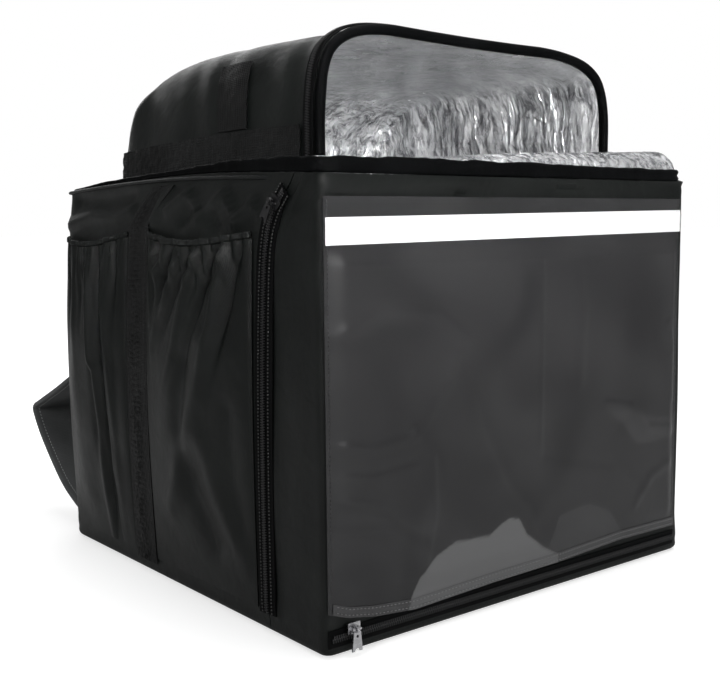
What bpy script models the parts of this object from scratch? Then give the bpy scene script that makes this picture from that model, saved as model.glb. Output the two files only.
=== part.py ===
"""A square thermal food delivery bag, worn on the back, with a tall foil lined hood on its lid.

The front looks along -Y, the wearer's back is at +Y, and the bag stands on z = 0 with the middle of
its base at the origin. Lengths are in metres.
"""

import math

import bmesh
import bpy
from mathutils import Matrix, Vector

# Driving dimensions of the main box
BODY_WIDTH = 0.454
BODY_DEPTH = 0.462
BODY_HEIGHT = 0.375
WALL = 0.005
GAP = 0.0003
SEAM_GAP = 0.0010
REAR_CORNER = 0.014
FRONT_CORNER = 0.007
BASE_ROUND = 0.006
BASE_LIP = 0.005

# Slack of the filled bag
SIDE_BELLY = 0.006
REAR_BELLY = 0.006
REAR_LEAN = 0.014
TOP_BOW = 0.007
BOW_FLAT = 0.88

# Zips at the sides of the front panel
ZIP_TAPE = 0.024
ZIP_TAPE_THICK = 0.0012
ZIP_COIL = 0.007
ZIP_COIL_THICK = 0.003
SIDE_ZIP_FOOT = 0.016
SIDE_ZIP_TOP_CLEAR = 0.013
SIDE_SLIDER_DROP = 0.022

# Side pockets and webbing; a drop is measured down from the top of the box
CLOTH = 0.0015
WEBBING_THICK = 0.0018
SIDE_WEBBING_WIDTH = 0.040
SIDE_WEBBING_SETBACK = 0.288
SIDE_WEBBING_FOOT = 0.012
SIDE_WEBBING_SLANT = 0.046
SEWING_CLEAR = 0.0015
POCKET_FOOT = 0.018
POCKET_DROP = 0.046
POCKET_DIP = 0.008
POCKET_PUFF = 0.016
POCKET_REAR_MARGIN = 0.016
HEM_TALL = 0.005
HEM_THICK = 0.0032

# Front window, its stripe and its zip
WINDOW_LEFT_MARGIN = 0.002
WINDOW_RIGHT_MARGIN = 0.012
WINDOW_FOOT = 0.024
WINDOW_DROP = 0.017
WINDOW_SHEET = 0.0010
WINDOW_HEM_TALL = 0.009
WINDOW_HEM_THICK = 0.0010
STRIPE_DROP = 0.054
STRIPE_TALL = 0.021
STRIPE_RISE = 0.005
STRIPE_THICK = 0.0008
WINDOW_ZIP_HEIGHT = 0.0155
WINDOW_ZIP_TAPE = 0.014
WINDOW_SLIDER_INSET = 0.024
WINDOW_SLIDER_RISE = 0.0065

# Lid pad
PAD_CORNER = 0.020
PAD_EDGE_LEFT = 0.015
PAD_EDGE_RIGHT = 0.0105
PAD_ROLL_WIDE = 0.020
PAD_RISE_LEFT = 0.0005
PAD_RISE_RIGHT = 0.019
BINDING_THICK = 0.003

# Hood; its rounding at the rear is a share of its depth
HOOD_SIDE_INSET = 0.0455
HOOD_FRONT_INSET = 0.070
HOOD_REAR_INSET = 0.024
HOOD_TALL = 0.128
HOOD_TOP_TILT = 0.006
HOOD_TOP_DIP = 0.004
HOOD_REAR_CORNER = 0.028
HOOD_ROUND_SIDE = 0.130
HOOD_ROUND_REAR = 0.847
HOOD_WALL = 0.006
LINING = 0.001
HOOD_SEAT = 0.0006
ARCH_LIFT = 0.0005
BAND_TALL = 0.025
ARCH_BINDING_DEEP = 0.007
ARCH_BINDING_PROUD = 0.0015
HOOD_ZIP_WIDTH = 0.014
HOOD_ZIP_SETBACK = 0.003
HOOD_PATCH_WIDTH = 0.050
HOOD_PATCH_SETBACK = 0.199
HOOD_PATCH_TALL = 0.062

# Piping round the top edge
PIPING_RADIUS = 0.002
PIPING_DROP = 0.004
PIPING_START = 0.062

# Shoulder straps
STRAP_WIDTH = 0.060
STRAP_THICK = 0.007
STRAP_DROP = 0.037
STRAP_FOOT = 0.022
STRAP_REACH = 0.128
STRAP_OUTER_MARGIN = 0.012
STRAP_TOP_SPREAD = 0.110

# Zip sliders and pulls
SLIDER_LONG = 0.0120
SLIDER_TALL = 0.0090
SLIDER_PLATE = 0.0018
BRIDGE_OUTER = 0.0088
BRIDGE_BAR = 0.0016
PULL_EYE_RADIUS = 0.0029
PULL_EYE_HOLE = 0.0016
PULL_EYE_WIDE = 0.0024
PULL_LENGTH = 0.0155
PULL_TOP_WIDE = 0.0070
PULL_FOOT_WIDE = 0.0100
PULL_THICK = 0.0014
PULL_HOLE_RADIUS = 0.0012
PULL_NOTCH_RADIUS = 0.0026
RUNNING_CLEAR = 0.0004

# The line of the side zip: height as a share of the box, set back as a share of its depth
ZIP_LINE = (
    {"height": 0.00, "setback": 0.161},
    {"height": 0.04, "setback": 0.171},
    {"height": 0.12, "setback": 0.169},
    {"height": 0.50, "setback": 0.164},
    {"height": 0.75, "setback": 0.159},
    {"height": 0.84, "setback": 0.155},
    {"height": 0.90, "setback": 0.142},
    {"height": 0.95, "setback": 0.112},
    {"height": 1.00, "setback": 0.062},
)

# Heights of the wall rows above the rounded foot, as shares of the box
WALL_ROWS = (0.04, 0.12, 0.25, 0.38, 0.50, 0.63, 0.75, 0.84, 0.90, 0.95, 1.00)

# Folds of the pockets: place at the hem and at the foot, and width, as shares of the pocket's width,
# and depth as a share of its puff
FRONT_POCKET_FOLDS = (
    {"hem": 0.20, "foot": 0.42, "width": 0.055, "depth": 0.55},
    {"hem": 0.44, "foot": 0.60, "width": 0.050, "depth": 0.45},
    {"hem": 0.80, "foot": 0.72, "width": 0.060, "depth": 0.50},
)
REAR_POCKET_FOLDS = (
    {"hem": 0.22, "foot": 0.30, "width": 0.060, "depth": 0.40},
    {"hem": 0.52, "foot": 0.44, "width": 0.070, "depth": 0.80},
)

# Sections of the hood from its foot to its crown: height as a share, insets as shares of the rounding
HOOD_ROWS = (
    {"height": 0.00, "left": 0.000, "right": 0.000, "rear": 0.000},
    {"height": 0.08, "left": 0.000, "right": 0.000, "rear": 0.000},
    {"height": 0.22, "left": 0.000, "right": 0.000, "rear": 0.010},
    {"height": 0.42, "left": 0.008, "right": 0.010, "rear": 0.035},
    {"height": 0.62, "left": 0.020, "right": 0.050, "rear": 0.095},
    {"height": 0.78, "left": 0.050, "right": 0.130, "rear": 0.200},
    {"height": 0.90, "left": 0.140, "right": 0.290, "rear": 0.360},
    {"height": 0.97, "left": 0.290, "right": 0.500, "rear": 0.540},
    {"height": 1.00, "left": 0.560, "right": 0.720, "rear": 0.760},
    {"height": 1.00, "left": 1.000, "right": 1.000, "rear": 1.000},
)

# Sections of the lid pad's upper face: shares of its rolled edge's width, of the way inwards
# from there, and of its rise
PAD_ROWS = (
    {"roll": 0.0, "inner": 0.0, "rise": 0.00},
    {"roll": 0.2, "inner": 0.0, "rise": 0.42},
    {"roll": 0.5, "inner": 0.0, "rise": 0.78},
    {"roll": 1.0, "inner": 0.0, "rise": 1.00},
    {"roll": 1.0, "inner": 0.2, "rise": 1.00},
    {"roll": 1.0, "inner": 0.46, "rise": 1.00},
    {"roll": 1.0, "inner": 0.74, "rise": 1.00},
    {"roll": 1.0, "inner": 1.0, "rise": 1.00},
)

# Side view of a shoulder strap from its top end: height between its ends, distance behind the back
# as a share of its reach, and how far it has moved outwards
STRAP_LINE = (
    {"height": 1.00, "reach": 0.00, "out": 0.00},
    {"height": 0.90, "reach": 0.00, "out": 0.05},
    {"height": 0.72, "reach": 0.10, "out": 0.30},
    {"height": 0.55, "reach": 0.28, "out": 0.65},
    {"height": 0.42, "reach": 0.62, "out": 0.90},
    {"height": 0.32, "reach": 0.97, "out": 1.00},
    {"height": 0.21, "reach": 0.85, "out": 1.00},
    {"height": 0.08, "reach": 0.48, "out": 1.00},
    {"height": 0.02, "reach": 0.16, "out": 1.00},
    {"height": 0.00, "reach": 0.00, "out": 1.00},
)

# Section of a shoulder strap with rounded edges: shares of half its width and half its thickness
STRAP_SECTION = (
    (-1.0, -0.4), (-0.9, -1.0), (0.9, -1.0), (1.0, -0.4),
    (1.0, 0.4), (0.9, 1.0), (-0.9, 1.0), (-1.0, 0.4),
)

# Finishes: colour, roughness and metallic value
NYLON = ((0.020, 0.022, 0.021), 0.62, 0.0)
WEBBING = ((0.014, 0.015, 0.015), 0.75, 0.0)
ZIP = ((0.010, 0.010, 0.011), 0.45, 0.0)
BINDING = ((0.008, 0.009, 0.010), 0.70, 0.0)
FOIL = ((0.62, 0.63, 0.65), 0.28, 0.95)
CLEAR_VINYL = ((0.050, 0.050, 0.054), 0.18, 0.0)
REFLECTIVE = ((0.86, 0.87, 0.88), 0.45, 0.0)
STEEL = ((0.72, 0.72, 0.74), 0.25, 1.0)
BLACK_METAL = ((0.015, 0.015, 0.016), 0.35, 0.6)


def clear_scene():
    for old in list(bpy.data.objects):
        bpy.data.objects.remove(old, do_unlink=True)


def make_collection(name):
    collection = bpy.data.collections.new(name)
    bpy.context.scene.collection.children.link(collection)
    return collection


def make_material(name, finish):
    colour, roughness, metallic = finish
    material = bpy.data.materials.new(name)
    material.use_nodes = True
    material.diffuse_color = (*colour, 1.0)
    shader = material.node_tree.nodes["Principled BSDF"]
    shader.inputs["Base Color"].default_value = (*colour, 1.0)
    shader.inputs["Roughness"].default_value = roughness
    shader.inputs["Metallic"].default_value = metallic
    return material


def add_object(name, mesh, finish, collection):
    piece = bpy.data.objects.new(name, mesh)
    collection.objects.link(piece)
    mesh.materials.append(make_material(name, finish))
    return piece


def mesh_from(name, bm):
    mesh = bpy.data.meshes.new(name)
    bm.to_mesh(mesh)
    bm.free()
    return mesh


def shares(count):
    return [i / count for i in range(count + 1)]


def between(low, high, share):
    return low + (high - low) * share


def read_table(rows, key, value, place):
    """Read a column of a table at a place on its key column, along straight lines between rows."""
    if place <= rows[0][key]:
        return rows[0][value]
    for low, high in zip(rows, rows[1:]):
        if place <= high[key]:
            span = max(high[key] - low[key], 1e-9)
            return between(low[value], high[value], (place - low[key]) / span)
    return rows[-1][value]


# How far back the sides' belly reaches, and how much of the rear's belly the corners hold back
BELLY_REACH = 0.8
CORNER_HOLD = 0.6


def soft(x, y, z):
    """Carry a point of the plain box to the slack shape that the filled bag takes."""
    up = min(max(z / BODY_HEIGHT, 0.0), 1.0)
    back = min(max(y / BODY_DEPTH + 0.5, 0.0), 1.0)
    side = x / (BODY_WIDTH / 2)
    belly = math.sin(math.pi * up)
    middle = math.sin(math.pi * back)
    x += side * SIDE_BELLY * belly * math.sin(math.pi * BELLY_REACH * back)
    y += REAR_BELLY * belly * max(1.0 - CORNER_HOLD * side * side, 0.0) * back ** 2
    y -= REAR_LEAN * back * up ** 4
    z += TOP_BOW * up ** 4 * middle * min(side * side / BOW_FLAT, 1.0)
    return Vector((x, y, z))


def arc(centre_x, centre_y, radius, start, end, count):
    """Points on an arc in plan, angles in quarter turns anticlockwise from +X."""
    points = []
    for share in shares(count):
        angle = between(start, end, share) * math.pi / 2
        points.append((centre_x + radius * math.cos(angle), centre_y + radius * math.sin(angle)))
    return points


def straight(first, last, count):
    """Points inside a straight run in plan, without its two ends."""
    return [
        (between(first[0], last[0], share), between(first[1], last[1], share))
        for share in shares(count)[1:-1]
    ]


def sheet(name, rows, finish, collection, lift=0.0, thickness=CLOTH, outward=True):
    """A wall of cloth: an open grid of points, lifted along its normals and given its thickness."""
    bm = bmesh.new()
    grid = [[bm.verts.new(point) for point in row] for row in rows]
    for low, high in zip(grid, grid[1:]):
        for i in range(len(low) - 1):
            bm.faces.new((low[i], low[i + 1], high[i + 1], high[i]))
    lift_off(bm, lift)
    piece = add_object(name, mesh_from(name, bm), finish, collection)
    thicken(piece, thickness, outward)


def lift_off(bm, lift):
    """Move an open surface along its normals, keeping an even distance at its bends."""
    bm.normal_update()
    places = [vert.co + vert.normal * vert.calc_shell_factor() * lift for vert in bm.verts]
    for vert, place in zip(bm.verts, places):
        vert.co = place


def thicken(piece, thickness, outward):
    solidify = piece.modifiers.new("thickness", "SOLIDIFY")
    solidify.thickness = thickness
    solidify.offset = 1.0 if outward else -1.0
    solidify.use_even_offset = True
    solidify.use_quality_normals = True


def sweep(name, rings, finish, collection, closed=False):
    """A strip of one section: rings of points joined in turn, capped at its ends unless it closes."""
    bm = bmesh.new()
    loops = [[bm.verts.new(point) for point in ring] for ring in rings]
    pairs = list(zip(loops, loops[1:]))
    if closed:
        pairs.append((loops[-1], loops[0]))
    for first, second in pairs:
        for i in range(len(first)):
            j = (i + 1) % len(first)
            bm.faces.new((first[i], first[j], second[j], second[i]))
    if not closed:
        bm.faces.new(loops[0])
        bm.faces.new(loops[-1])
    bmesh.ops.recalc_face_normals(bm, faces=bm.faces)
    add_object(name, mesh_from(name, bm), finish, collection)


# Walls and base

def zip_setback(z):
    return BODY_DEPTH * read_table(ZIP_LINE, "height", "setback", z / BODY_HEIGHT)


def foot_rows():
    """Heights and insets of the rounded foot of the walls, whose lip lies under the bag."""
    rows = [(0.0, BASE_ROUND + BASE_LIP)]
    for share in shares(3):
        angle = share * math.pi / 2
        rows.append((BASE_ROUND * (1 - math.cos(angle)), BASE_ROUND * (1 - math.sin(angle))))
    return rows


def wall_rows():
    return foot_rows() + [(share * BODY_HEIGHT, 0.0) for share in WALL_ROWS]


def rear_path(z, inset):
    """Plan of the side and rear walls, anticlockwise from the zip at the right to the one at the left."""
    start = -BODY_DEPTH / 2 + zip_setback(z) + SEAM_GAP / 2
    half = BODY_WIDTH / 2 - inset
    turn_x = BODY_WIDTH / 2 - REAR_CORNER
    turn_y = BODY_DEPTH / 2 - REAR_CORNER
    radius = REAR_CORNER - inset
    right = arc(turn_x, turn_y, radius, 0, 1, 4)
    left = arc(-turn_x, turn_y, radius, 1, 2, 4)
    path = [(half, start)]
    path += straight(path[0], right[0], 6)
    path += right + straight(right[-1], left[0], 7) + left
    path += straight(left[-1], (-half, start), 6)
    path.append((-half, start))
    return path


def front_path(z, inset):
    """Plan of the front panel, anticlockwise from the zip at the left to the one at the right."""
    end = -BODY_DEPTH / 2 + zip_setback(z) - SEAM_GAP / 2
    half = BODY_WIDTH / 2 - inset
    turn_x = half - FRONT_CORNER
    turn_y = -BODY_DEPTH / 2 + inset + FRONT_CORNER
    left = arc(-turn_x, turn_y, FRONT_CORNER, 2, 3, 2)
    right = arc(turn_x, turn_y, FRONT_CORNER, 3, 4, 2)
    path = [(-half, end)] + straight((-half, end), left[0], 3) + left
    path += straight(left[-1], right[0], 8)
    path += right + straight(right[-1], (half, end), 3) + [(half, end)]
    return path


def build_walls(parts):
    rear = [[soft(x, y, z) for x, y in rear_path(z, inset)] for z, inset in wall_rows()]
    sheet("body_wall", rear, NYLON, parts, thickness=WALL, outward=False)
    front = [[soft(x, y, z) for x, y in front_path(z, inset)] for z, inset in wall_rows()]
    sheet("front_panel", front, NYLON, parts, thickness=WALL, outward=False)


# Largest corner of an outline, as a share of half its width
CORNER_MOST = 0.9


def box_outline(inset, corner, run_count, corner_count):
    """A closed rounded outline in plan, anticlockwise, inset from the size of the box."""
    half_x = BODY_WIDTH / 2 - inset
    half_y = BODY_DEPTH / 2 - inset
    radius = min(corner, half_x * CORNER_MOST, half_y * CORNER_MOST)
    turns = [(half_x, half_y, 0), (-half_x, half_y, 1), (-half_x, -half_y, 2), (half_x, -half_y, 3)]
    corners = []
    for x, y, quarter in turns:
        centre_x = x - math.copysign(radius, x)
        centre_y = y - math.copysign(radius, y)
        corners.append(arc(centre_x, centre_y, radius, quarter, quarter + 1, corner_count))
    path = []
    for this, following in zip(corners, corners[1:] + corners[:1]):
        path += this + straight(this[-1], following[0], run_count)
    return path


def build_base(parts):
    inset = BASE_ROUND + BASE_LIP + GAP
    outline = box_outline(inset, FRONT_CORNER, 3, 2)
    bm = bmesh.new()
    face = bm.faces.new([bm.verts.new((x, y, 0.0)) for x, y in outline])
    face.normal_update()
    if face.normal.z > 0:
        face.normal_flip()
    base = add_object("base_panel", mesh_from("base_panel", bm), NYLON, parts)
    thicken(base, WALL, False)


# Points on a side wall

def side_point(side, setback, z, lift):
    """A point at a distance behind the front along a side wall and round its rear corner."""
    turn = setback - (BODY_DEPTH - REAR_CORNER)
    x = BODY_WIDTH / 2 + lift
    y = setback - BODY_DEPTH / 2
    if turn > 0:
        angle = turn / REAR_CORNER
        x = BODY_WIDTH / 2 - REAR_CORNER + (REAR_CORNER + lift) * math.cos(angle)
        y = BODY_DEPTH / 2 - REAR_CORNER + (REAR_CORNER + lift) * math.sin(angle)
    return soft(side * x, y, z)


def side_strip(name, side, line, width, section, finish, collection, level=False):
    """A strip sewn on a side wall along a line of set back and height, of one section across it.

    Its section stands square to the line, or level all along it."""
    rings = []
    for i, (setback, z) in enumerate(line):
        before = line[max(i - 1, 0)]
        after = line[min(i + 1, len(line) - 1)]
        along = Vector((after[0] - before[0], after[1] - before[1])).normalized()
        if level:
            along = Vector((0.0, 1.0))
        ring = []
        for across, lift in section:
            shift = across * width / 2
            ring.append(side_point(side, setback + along.y * shift, z - along.x * shift, lift))
        rings.append(ring)
    return sweep(name, rings, finish, collection)


def tape_section(width, coil):
    """Section of a zip: shares of half its width, and lift off the cloth."""
    low = GAP
    rib = coil / width
    return (
        (-1.0, low), (-1.0, low + ZIP_TAPE_THICK), (-rib, low + ZIP_TAPE_THICK),
        (-rib * 0.8, low + ZIP_COIL_THICK), (rib * 0.8, low + ZIP_COIL_THICK),
        (rib, low + ZIP_TAPE_THICK), (1.0, low + ZIP_TAPE_THICK), (1.0, low),
    )


# How much the rings of a side zip crowd towards its curved top, and how its webbing's slant curves
ZIP_CROWDING = 1.6
SLANT_CURVE = 1.2


def side_zip_line():
    top = BODY_HEIGHT - SIDE_ZIP_TOP_CLEAR
    heights = [between(SIDE_ZIP_FOOT, top, 1 - (1 - share) ** ZIP_CROWDING) for share in shares(15)]
    return [(zip_setback(z), z) for z in heights]


def webbing_line():
    """The side webbing runs straight up, then slants forward to the top edge."""
    top = BODY_HEIGHT - PIPING_DROP - PIPING_RADIUS - CLOTH
    bend = BODY_HEIGHT - POCKET_DROP + HEM_TALL
    upright = [(SIDE_WEBBING_SETBACK, between(SIDE_WEBBING_FOOT, bend, share)) for share in shares(8)]
    slant = []
    for share in shares(3)[1:]:
        setback = SIDE_WEBBING_SETBACK - SIDE_WEBBING_SLANT * share ** SLANT_CURVE
        slant.append((setback, between(bend, top, share)))
    return upright + slant


def flat_section(thickness, lift=GAP):
    return ((-1.0, lift), (-1.0, lift + thickness), (1.0, lift + thickness), (1.0, lift))


def pocket_spans():
    """Start and end of the two pockets of a side, measured behind the front."""
    widest = max(row["setback"] for row in ZIP_LINE) * BODY_DEPTH
    front_start = widest + ZIP_TAPE / 2 + SEWING_CLEAR
    front_end = SIDE_WEBBING_SETBACK - SIDE_WEBBING_WIDTH / 2 - SEWING_CLEAR
    rear_start = SIDE_WEBBING_SETBACK + SIDE_WEBBING_WIDTH / 2 + SEWING_CLEAR
    return (
        ("front", front_start, front_end, FRONT_POCKET_FOLDS),
        ("rear", rear_start, BODY_DEPTH - POCKET_REAR_MARGIN, REAR_POCKET_FOLDS),
    )


# How square the swell is in plan, how far up its widest part lies, and what a fold leaves of it
SWELL_SQUARE = 0.8
SWELL_WIDEST = 0.81
FOLD_LEAST = 0.1


def pocket_lift(across, up, folds):
    """How far the inner face of a pocket stands off the wall: sewn at three sides, slack at the hem."""
    plan = max(math.sin(math.pi * across), 0.0) ** SWELL_SQUARE
    swell = plan * math.sin(math.pi / 2 * up / SWELL_WIDEST)
    fold_depth = 0.0
    for fold in folds:
        place = between(fold["foot"], fold["hem"], up)
        fold_depth += fold["depth"] * math.exp(-((across - place) / fold["width"]) ** 2)
    return GAP + POCKET_PUFF * swell * max(1.0 - fold_depth, FOLD_LEAST)


def pocket_hem_height(across):
    return BODY_HEIGHT - POCKET_DROP - HEM_TALL - POCKET_DIP * math.sin(math.pi * across)


def build_pocket(side, side_name, label, start, end, folds, parts):
    rows = []
    for up in shares(7):
        row = []
        for across in shares(12):
            z = between(POCKET_FOOT, pocket_hem_height(across), up)
            row.append(side_point(side, between(start, end, across), z, pocket_lift(across, up, folds)))
        rows.append(row if side > 0 else row[::-1])
    sheet(f"pocket_{label}_{side_name}", rows, NYLON, parts)
    rings = []
    for across in shares(12):
        low = pocket_hem_height(across) + GAP
        inner = pocket_lift(across, 1.0, folds)
        setback = between(start, end, across)
        corners = (
            (low, inner), (low, inner + HEM_THICK), (low + HEM_TALL, inner + HEM_THICK),
            (low + HEM_TALL, inner),
        )
        rings.append([side_point(side, setback, z, lift) for z, lift in corners])
    sweep(f"pocket_hem_{label}_{side_name}", rings, BINDING, parts)


def build_sides(parts):
    for side, side_name in ((-1, "left"), (1, "right")):
        side_strip(
            f"side_zip_{side_name}", side, side_zip_line(), ZIP_TAPE,
            tape_section(ZIP_TAPE, ZIP_COIL), ZIP, parts,
        )
        side_strip(
            f"side_webbing_{side_name}", side, webbing_line(), SIDE_WEBBING_WIDTH,
            flat_section(WEBBING_THICK), WEBBING, parts, level=True,
        )
        for label, start, end, folds in pocket_spans():
            build_pocket(side, side_name, label, start, end, folds, parts)


def build_piping(parts):
    """A cord sewn along the top edge of the side and rear walls."""
    lift = PIPING_RADIUS + GAP
    z = BODY_HEIGHT - PIPING_DROP
    line = [
        side_point(1, between(PIPING_START, BODY_DEPTH - REAR_CORNER, share), z, lift)
        for share in shares(9)
    ]
    corner_run = REAR_CORNER * math.pi / 2
    for share in shares(4)[1:]:
        line.append(side_point(1, BODY_DEPTH - REAR_CORNER + corner_run * share, z, lift))
    half_rear = BODY_WIDTH / 2 - REAR_CORNER
    for share in shares(4)[1:]:
        line.append(soft(half_rear * (1 - share), BODY_DEPTH / 2 + lift, z))
    mirrored = [Vector((-point.x, point.y, point.z)) for point in reversed(line[:-1])]
    tube("top_piping", line + mirrored, PIPING_RADIUS, BINDING, parts)


def tube(name, points, radius, finish, collection):
    curve = bpy.data.curves.new(name, "CURVE")
    curve.dimensions = "3D"
    curve.bevel_depth = radius
    curve.bevel_resolution = 1
    curve.use_fill_caps = True
    spline = curve.splines.new("POLY")
    spline.points.add(len(points) - 1)
    for knot, point in zip(spline.points, points):
        knot.co = (*point, 1.0)
    piece = bpy.data.objects.new(name, curve)
    collection.objects.link(piece)
    curve.materials.append(make_material(name, finish))


# Front window

def front_rows(left, right, low, high, up_count):
    """A grid on the front face between two edges, each given by its height at the left and the right."""
    rows = []
    for up in shares(up_count):
        row = []
        for across in shares(10):
            z = between(between(*low, across), between(*high, across), up)
            row.append(soft(between(left, right, across), -BODY_DEPTH / 2, z))
        rows.append(row)
    return rows


def build_window(parts):
    left = -BODY_WIDTH / 2 + WINDOW_LEFT_MARGIN
    right = BODY_WIDTH / 2 - WINDOW_RIGHT_MARGIN
    over = WINDOW_SHEET + 2 * GAP
    window = front_rows(left, right, (WINDOW_FOOT,) * 2, (BODY_HEIGHT - WINDOW_DROP,) * 2, 8)
    sheet("window_sheet", window, CLEAR_VINYL, parts, lift=GAP, thickness=WINDOW_SHEET)
    low = (BODY_HEIGHT - STRIPE_DROP, BODY_HEIGHT - STRIPE_DROP + STRIPE_RISE)
    high = (low[0] + STRIPE_TALL, low[1] + STRIPE_TALL)
    stripe = front_rows(left, right, low, high, 1)
    sheet("reflective_stripe", stripe, REFLECTIVE, parts, lift=over, thickness=STRIPE_THICK)
    hem_top = WINDOW_FOOT + WINDOW_HEM_TALL
    hem = front_rows(left, right, (WINDOW_FOOT,) * 2, (hem_top,) * 2, 1)
    sheet("window_hem", hem, CLEAR_VINYL, parts, lift=over, thickness=WINDOW_HEM_THICK)
    rings = []
    for across in shares(10):
        x = between(left, right, across)
        ring = []
        for up, lift in tape_section(WINDOW_ZIP_TAPE, ZIP_COIL):
            z = WINDOW_ZIP_HEIGHT + up * WINDOW_ZIP_TAPE / 2
            ring.append(soft(x, -BODY_DEPTH / 2 - lift, z))
        rings.append(ring)
    sweep("window_zip", rings, ZIP, parts)


# Lid pad

PAD_REACH = 0.87
BINDING_BEVEL = 0.15


def pad_edge(x):
    """Thickness of the pad's bound edge, which thins to the right."""
    return between(PAD_EDGE_LEFT, PAD_EDGE_RIGHT, x / BODY_WIDTH + 0.5)


def pad_rise(x):
    return between(PAD_RISE_LEFT, PAD_RISE_RIGHT, x / BODY_WIDTH + 0.5)


def pad_top(x):
    """Height of the pad's flat upper face, which climbs to the right."""
    return BODY_HEIGHT + GAP + pad_edge(x) + pad_rise(x)


def pad_inset(row):
    """Distance of a row of the pad's face from its edge; the rows stop short of the middle."""
    reach = BODY_DEPTH / 2 * PAD_REACH - PAD_ROLL_WIDE
    return PAD_ROLL_WIDE * row["roll"] + reach * row["inner"]


def build_lid(parts):
    margin = BINDING_THICK + GAP
    low = BODY_HEIGHT + GAP
    rings = []
    for row in (PAD_ROWS[-1], PAD_ROWS[5], PAD_ROWS[3], PAD_ROWS[0]):
        outline = box_outline(pad_inset(row) + margin, PAD_CORNER, 6, 3)
        rings.append([soft(x, y, low) for x, y in outline])
    for row in PAD_ROWS:
        ring = []
        for x, y in box_outline(pad_inset(row) + margin, PAD_CORNER, 6, 3):
            ring.append(soft(x, y, low + pad_edge(x) + pad_rise(x) * row["rise"]))
        rings.append(ring)
    sweep("lid_pad", rings, FOIL, parts)
    inner = box_outline(margin - GAP, PAD_CORNER, 6, 3)
    outer = box_outline(margin - GAP - BINDING_THICK, PAD_CORNER, 6, 3)
    bands = []
    for near, far in zip(inner, outer):
        top = low + pad_edge(near[0])
        bevel = pad_edge(near[0]) * BINDING_BEVEL
        bands.append([soft(*near, low), soft(*far, low + bevel), soft(*far, top - bevel), soft(*near, top)])
    sweep("lid_binding", bands, BINDING, parts, closed=True)


# Hood

HOOD_HALF = BODY_WIDTH / 2 - HOOD_SIDE_INSET
HOOD_FRONT = -BODY_DEPTH / 2 + HOOD_FRONT_INSET
HOOD_REAR = BODY_DEPTH / 2 - HOOD_REAR_INSET
HOOD_TOP = BODY_HEIGHT + HOOD_TALL
HOOD_BAND_START = HOOD_ZIP_SETBACK + HOOD_ZIP_WIDTH + SEWING_CLEAR


def hood_top(x):
    across = min(max(x / (2 * HOOD_HALF) + 0.5, 0.0), 1.0)
    return HOOD_TOP - HOOD_TOP_TILT * across - HOOD_TOP_DIP * math.sin(math.pi * across) ** 2


def hood_height(x, share):
    foot = pad_top(x) + HOOD_SEAT
    return between(foot, hood_top(x), share)


def hood_path(row):
    """Plan of one section of the hood, anticlockwise from its right front edge to its left one."""
    right_half = HOOD_HALF - HOOD_ROUND_SIDE * row["right"]
    left_half = HOOD_HALF - HOOD_ROUND_SIDE * row["left"]
    rear = HOOD_REAR - HOOD_ROUND_REAR * (HOOD_REAR - HOOD_FRONT) * row["rear"]
    second = HOOD_FRONT + HOOD_BAND_START
    radius = min(HOOD_REAR_CORNER, right_half * CORNER_MOST, (rear - second) * CORNER_MOST)
    right = arc(right_half - radius, rear - radius, radius, 0, 1, 4)
    left = arc(-left_half + radius, rear - radius, radius, 1, 2, 4)
    path = [(right_half, HOOD_FRONT), (right_half, second)]
    path += straight(path[1], right[0], 5) + right
    path += straight(right[-1], left[0], 5) + left
    path += straight(left[-1], (-left_half, second), 5)
    path += [(-left_half, second), (-left_half, HOOD_FRONT)]
    return path


def hood_row(row):
    return [soft(x, y, hood_height(x, row["height"])) for x, y in hood_path(row)]


def hood_skin(name, finish, lift, thickness, foot_clear, parts):
    """The hood's curved sheet, open at the front and at the foot, closed over the crown."""
    rows = [hood_row(row) for row in HOOD_ROWS]
    bm = bmesh.new()
    grid = [[bm.verts.new(point) for point in row] for row in rows]
    for low, high in zip(grid, grid[1:]):
        for i in range(len(low) - 1):
            bm.faces.new((low[i], low[i + 1], high[i + 1], high[i]))
    crown = bm.verts.new(soft(0.0, HOOD_FRONT, hood_top(0.0)))
    for i in range(len(grid[-1]) - 1):
        bm.faces.new((grid[-1][i], grid[-1][i + 1], crown))
    lift_off(bm, lift)
    for vert in grid[0]:
        vert.co.z += foot_clear
    piece = add_object(name, mesh_from(name, bm), finish, parts)
    thicken(piece, thickness, False)


def arch_line():
    """The hood's front edge from its right foot over the crown to its left one.

    Each row holds x and z before the bag slackens, and the outward direction there.
    """
    line = []
    for row in HOOD_ROWS:
        x = HOOD_HALF - HOOD_ROUND_SIDE * row["right"]
        line.append((x, hood_height(x, row["height"])))
    line.append((0.0, hood_top(0.0)))
    for row in reversed(HOOD_ROWS):
        x = HOOD_ROUND_SIDE * row["left"] - HOOD_HALF
        line.append((x, hood_height(x, row["height"])))
    frames = []
    for i, (x, z) in enumerate(line):
        before = line[max(i - 1, 0)]
        after = line[min(i + 1, len(line) - 1)]
        out = Vector((after[1] - before[1], before[0] - after[0])).normalized()
        if i in (0, len(line) - 1):
            out = Vector((math.copysign(1.0, x), 0.0))
        frames.append((Vector((x, z)), out))
    return frames


def build_hood(parts):
    hood_skin("hood_shell", NYLON, 0.0, HOOD_WALL, 0.0, parts)
    hood_skin("hood_lining", FOIL, -(HOOD_WALL + GAP), LINING, GAP, parts)
    band = [hood_row(row)[1:-1] for row in band_rows()]
    sheet("hood_base_band", band, WEBBING, parts, lift=GAP, thickness=WEBBING_THICK)
    build_arch(parts)
    for side, side_name in ((-1, "left"), (1, "right")):
        build_hood_patch(side, side_name, parts)


def hood_table_row(share):
    row = {"height": share}
    for column in ("left", "right", "rear"):
        row[column] = read_table(HOOD_ROWS, "height", column, share)
    return row


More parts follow.
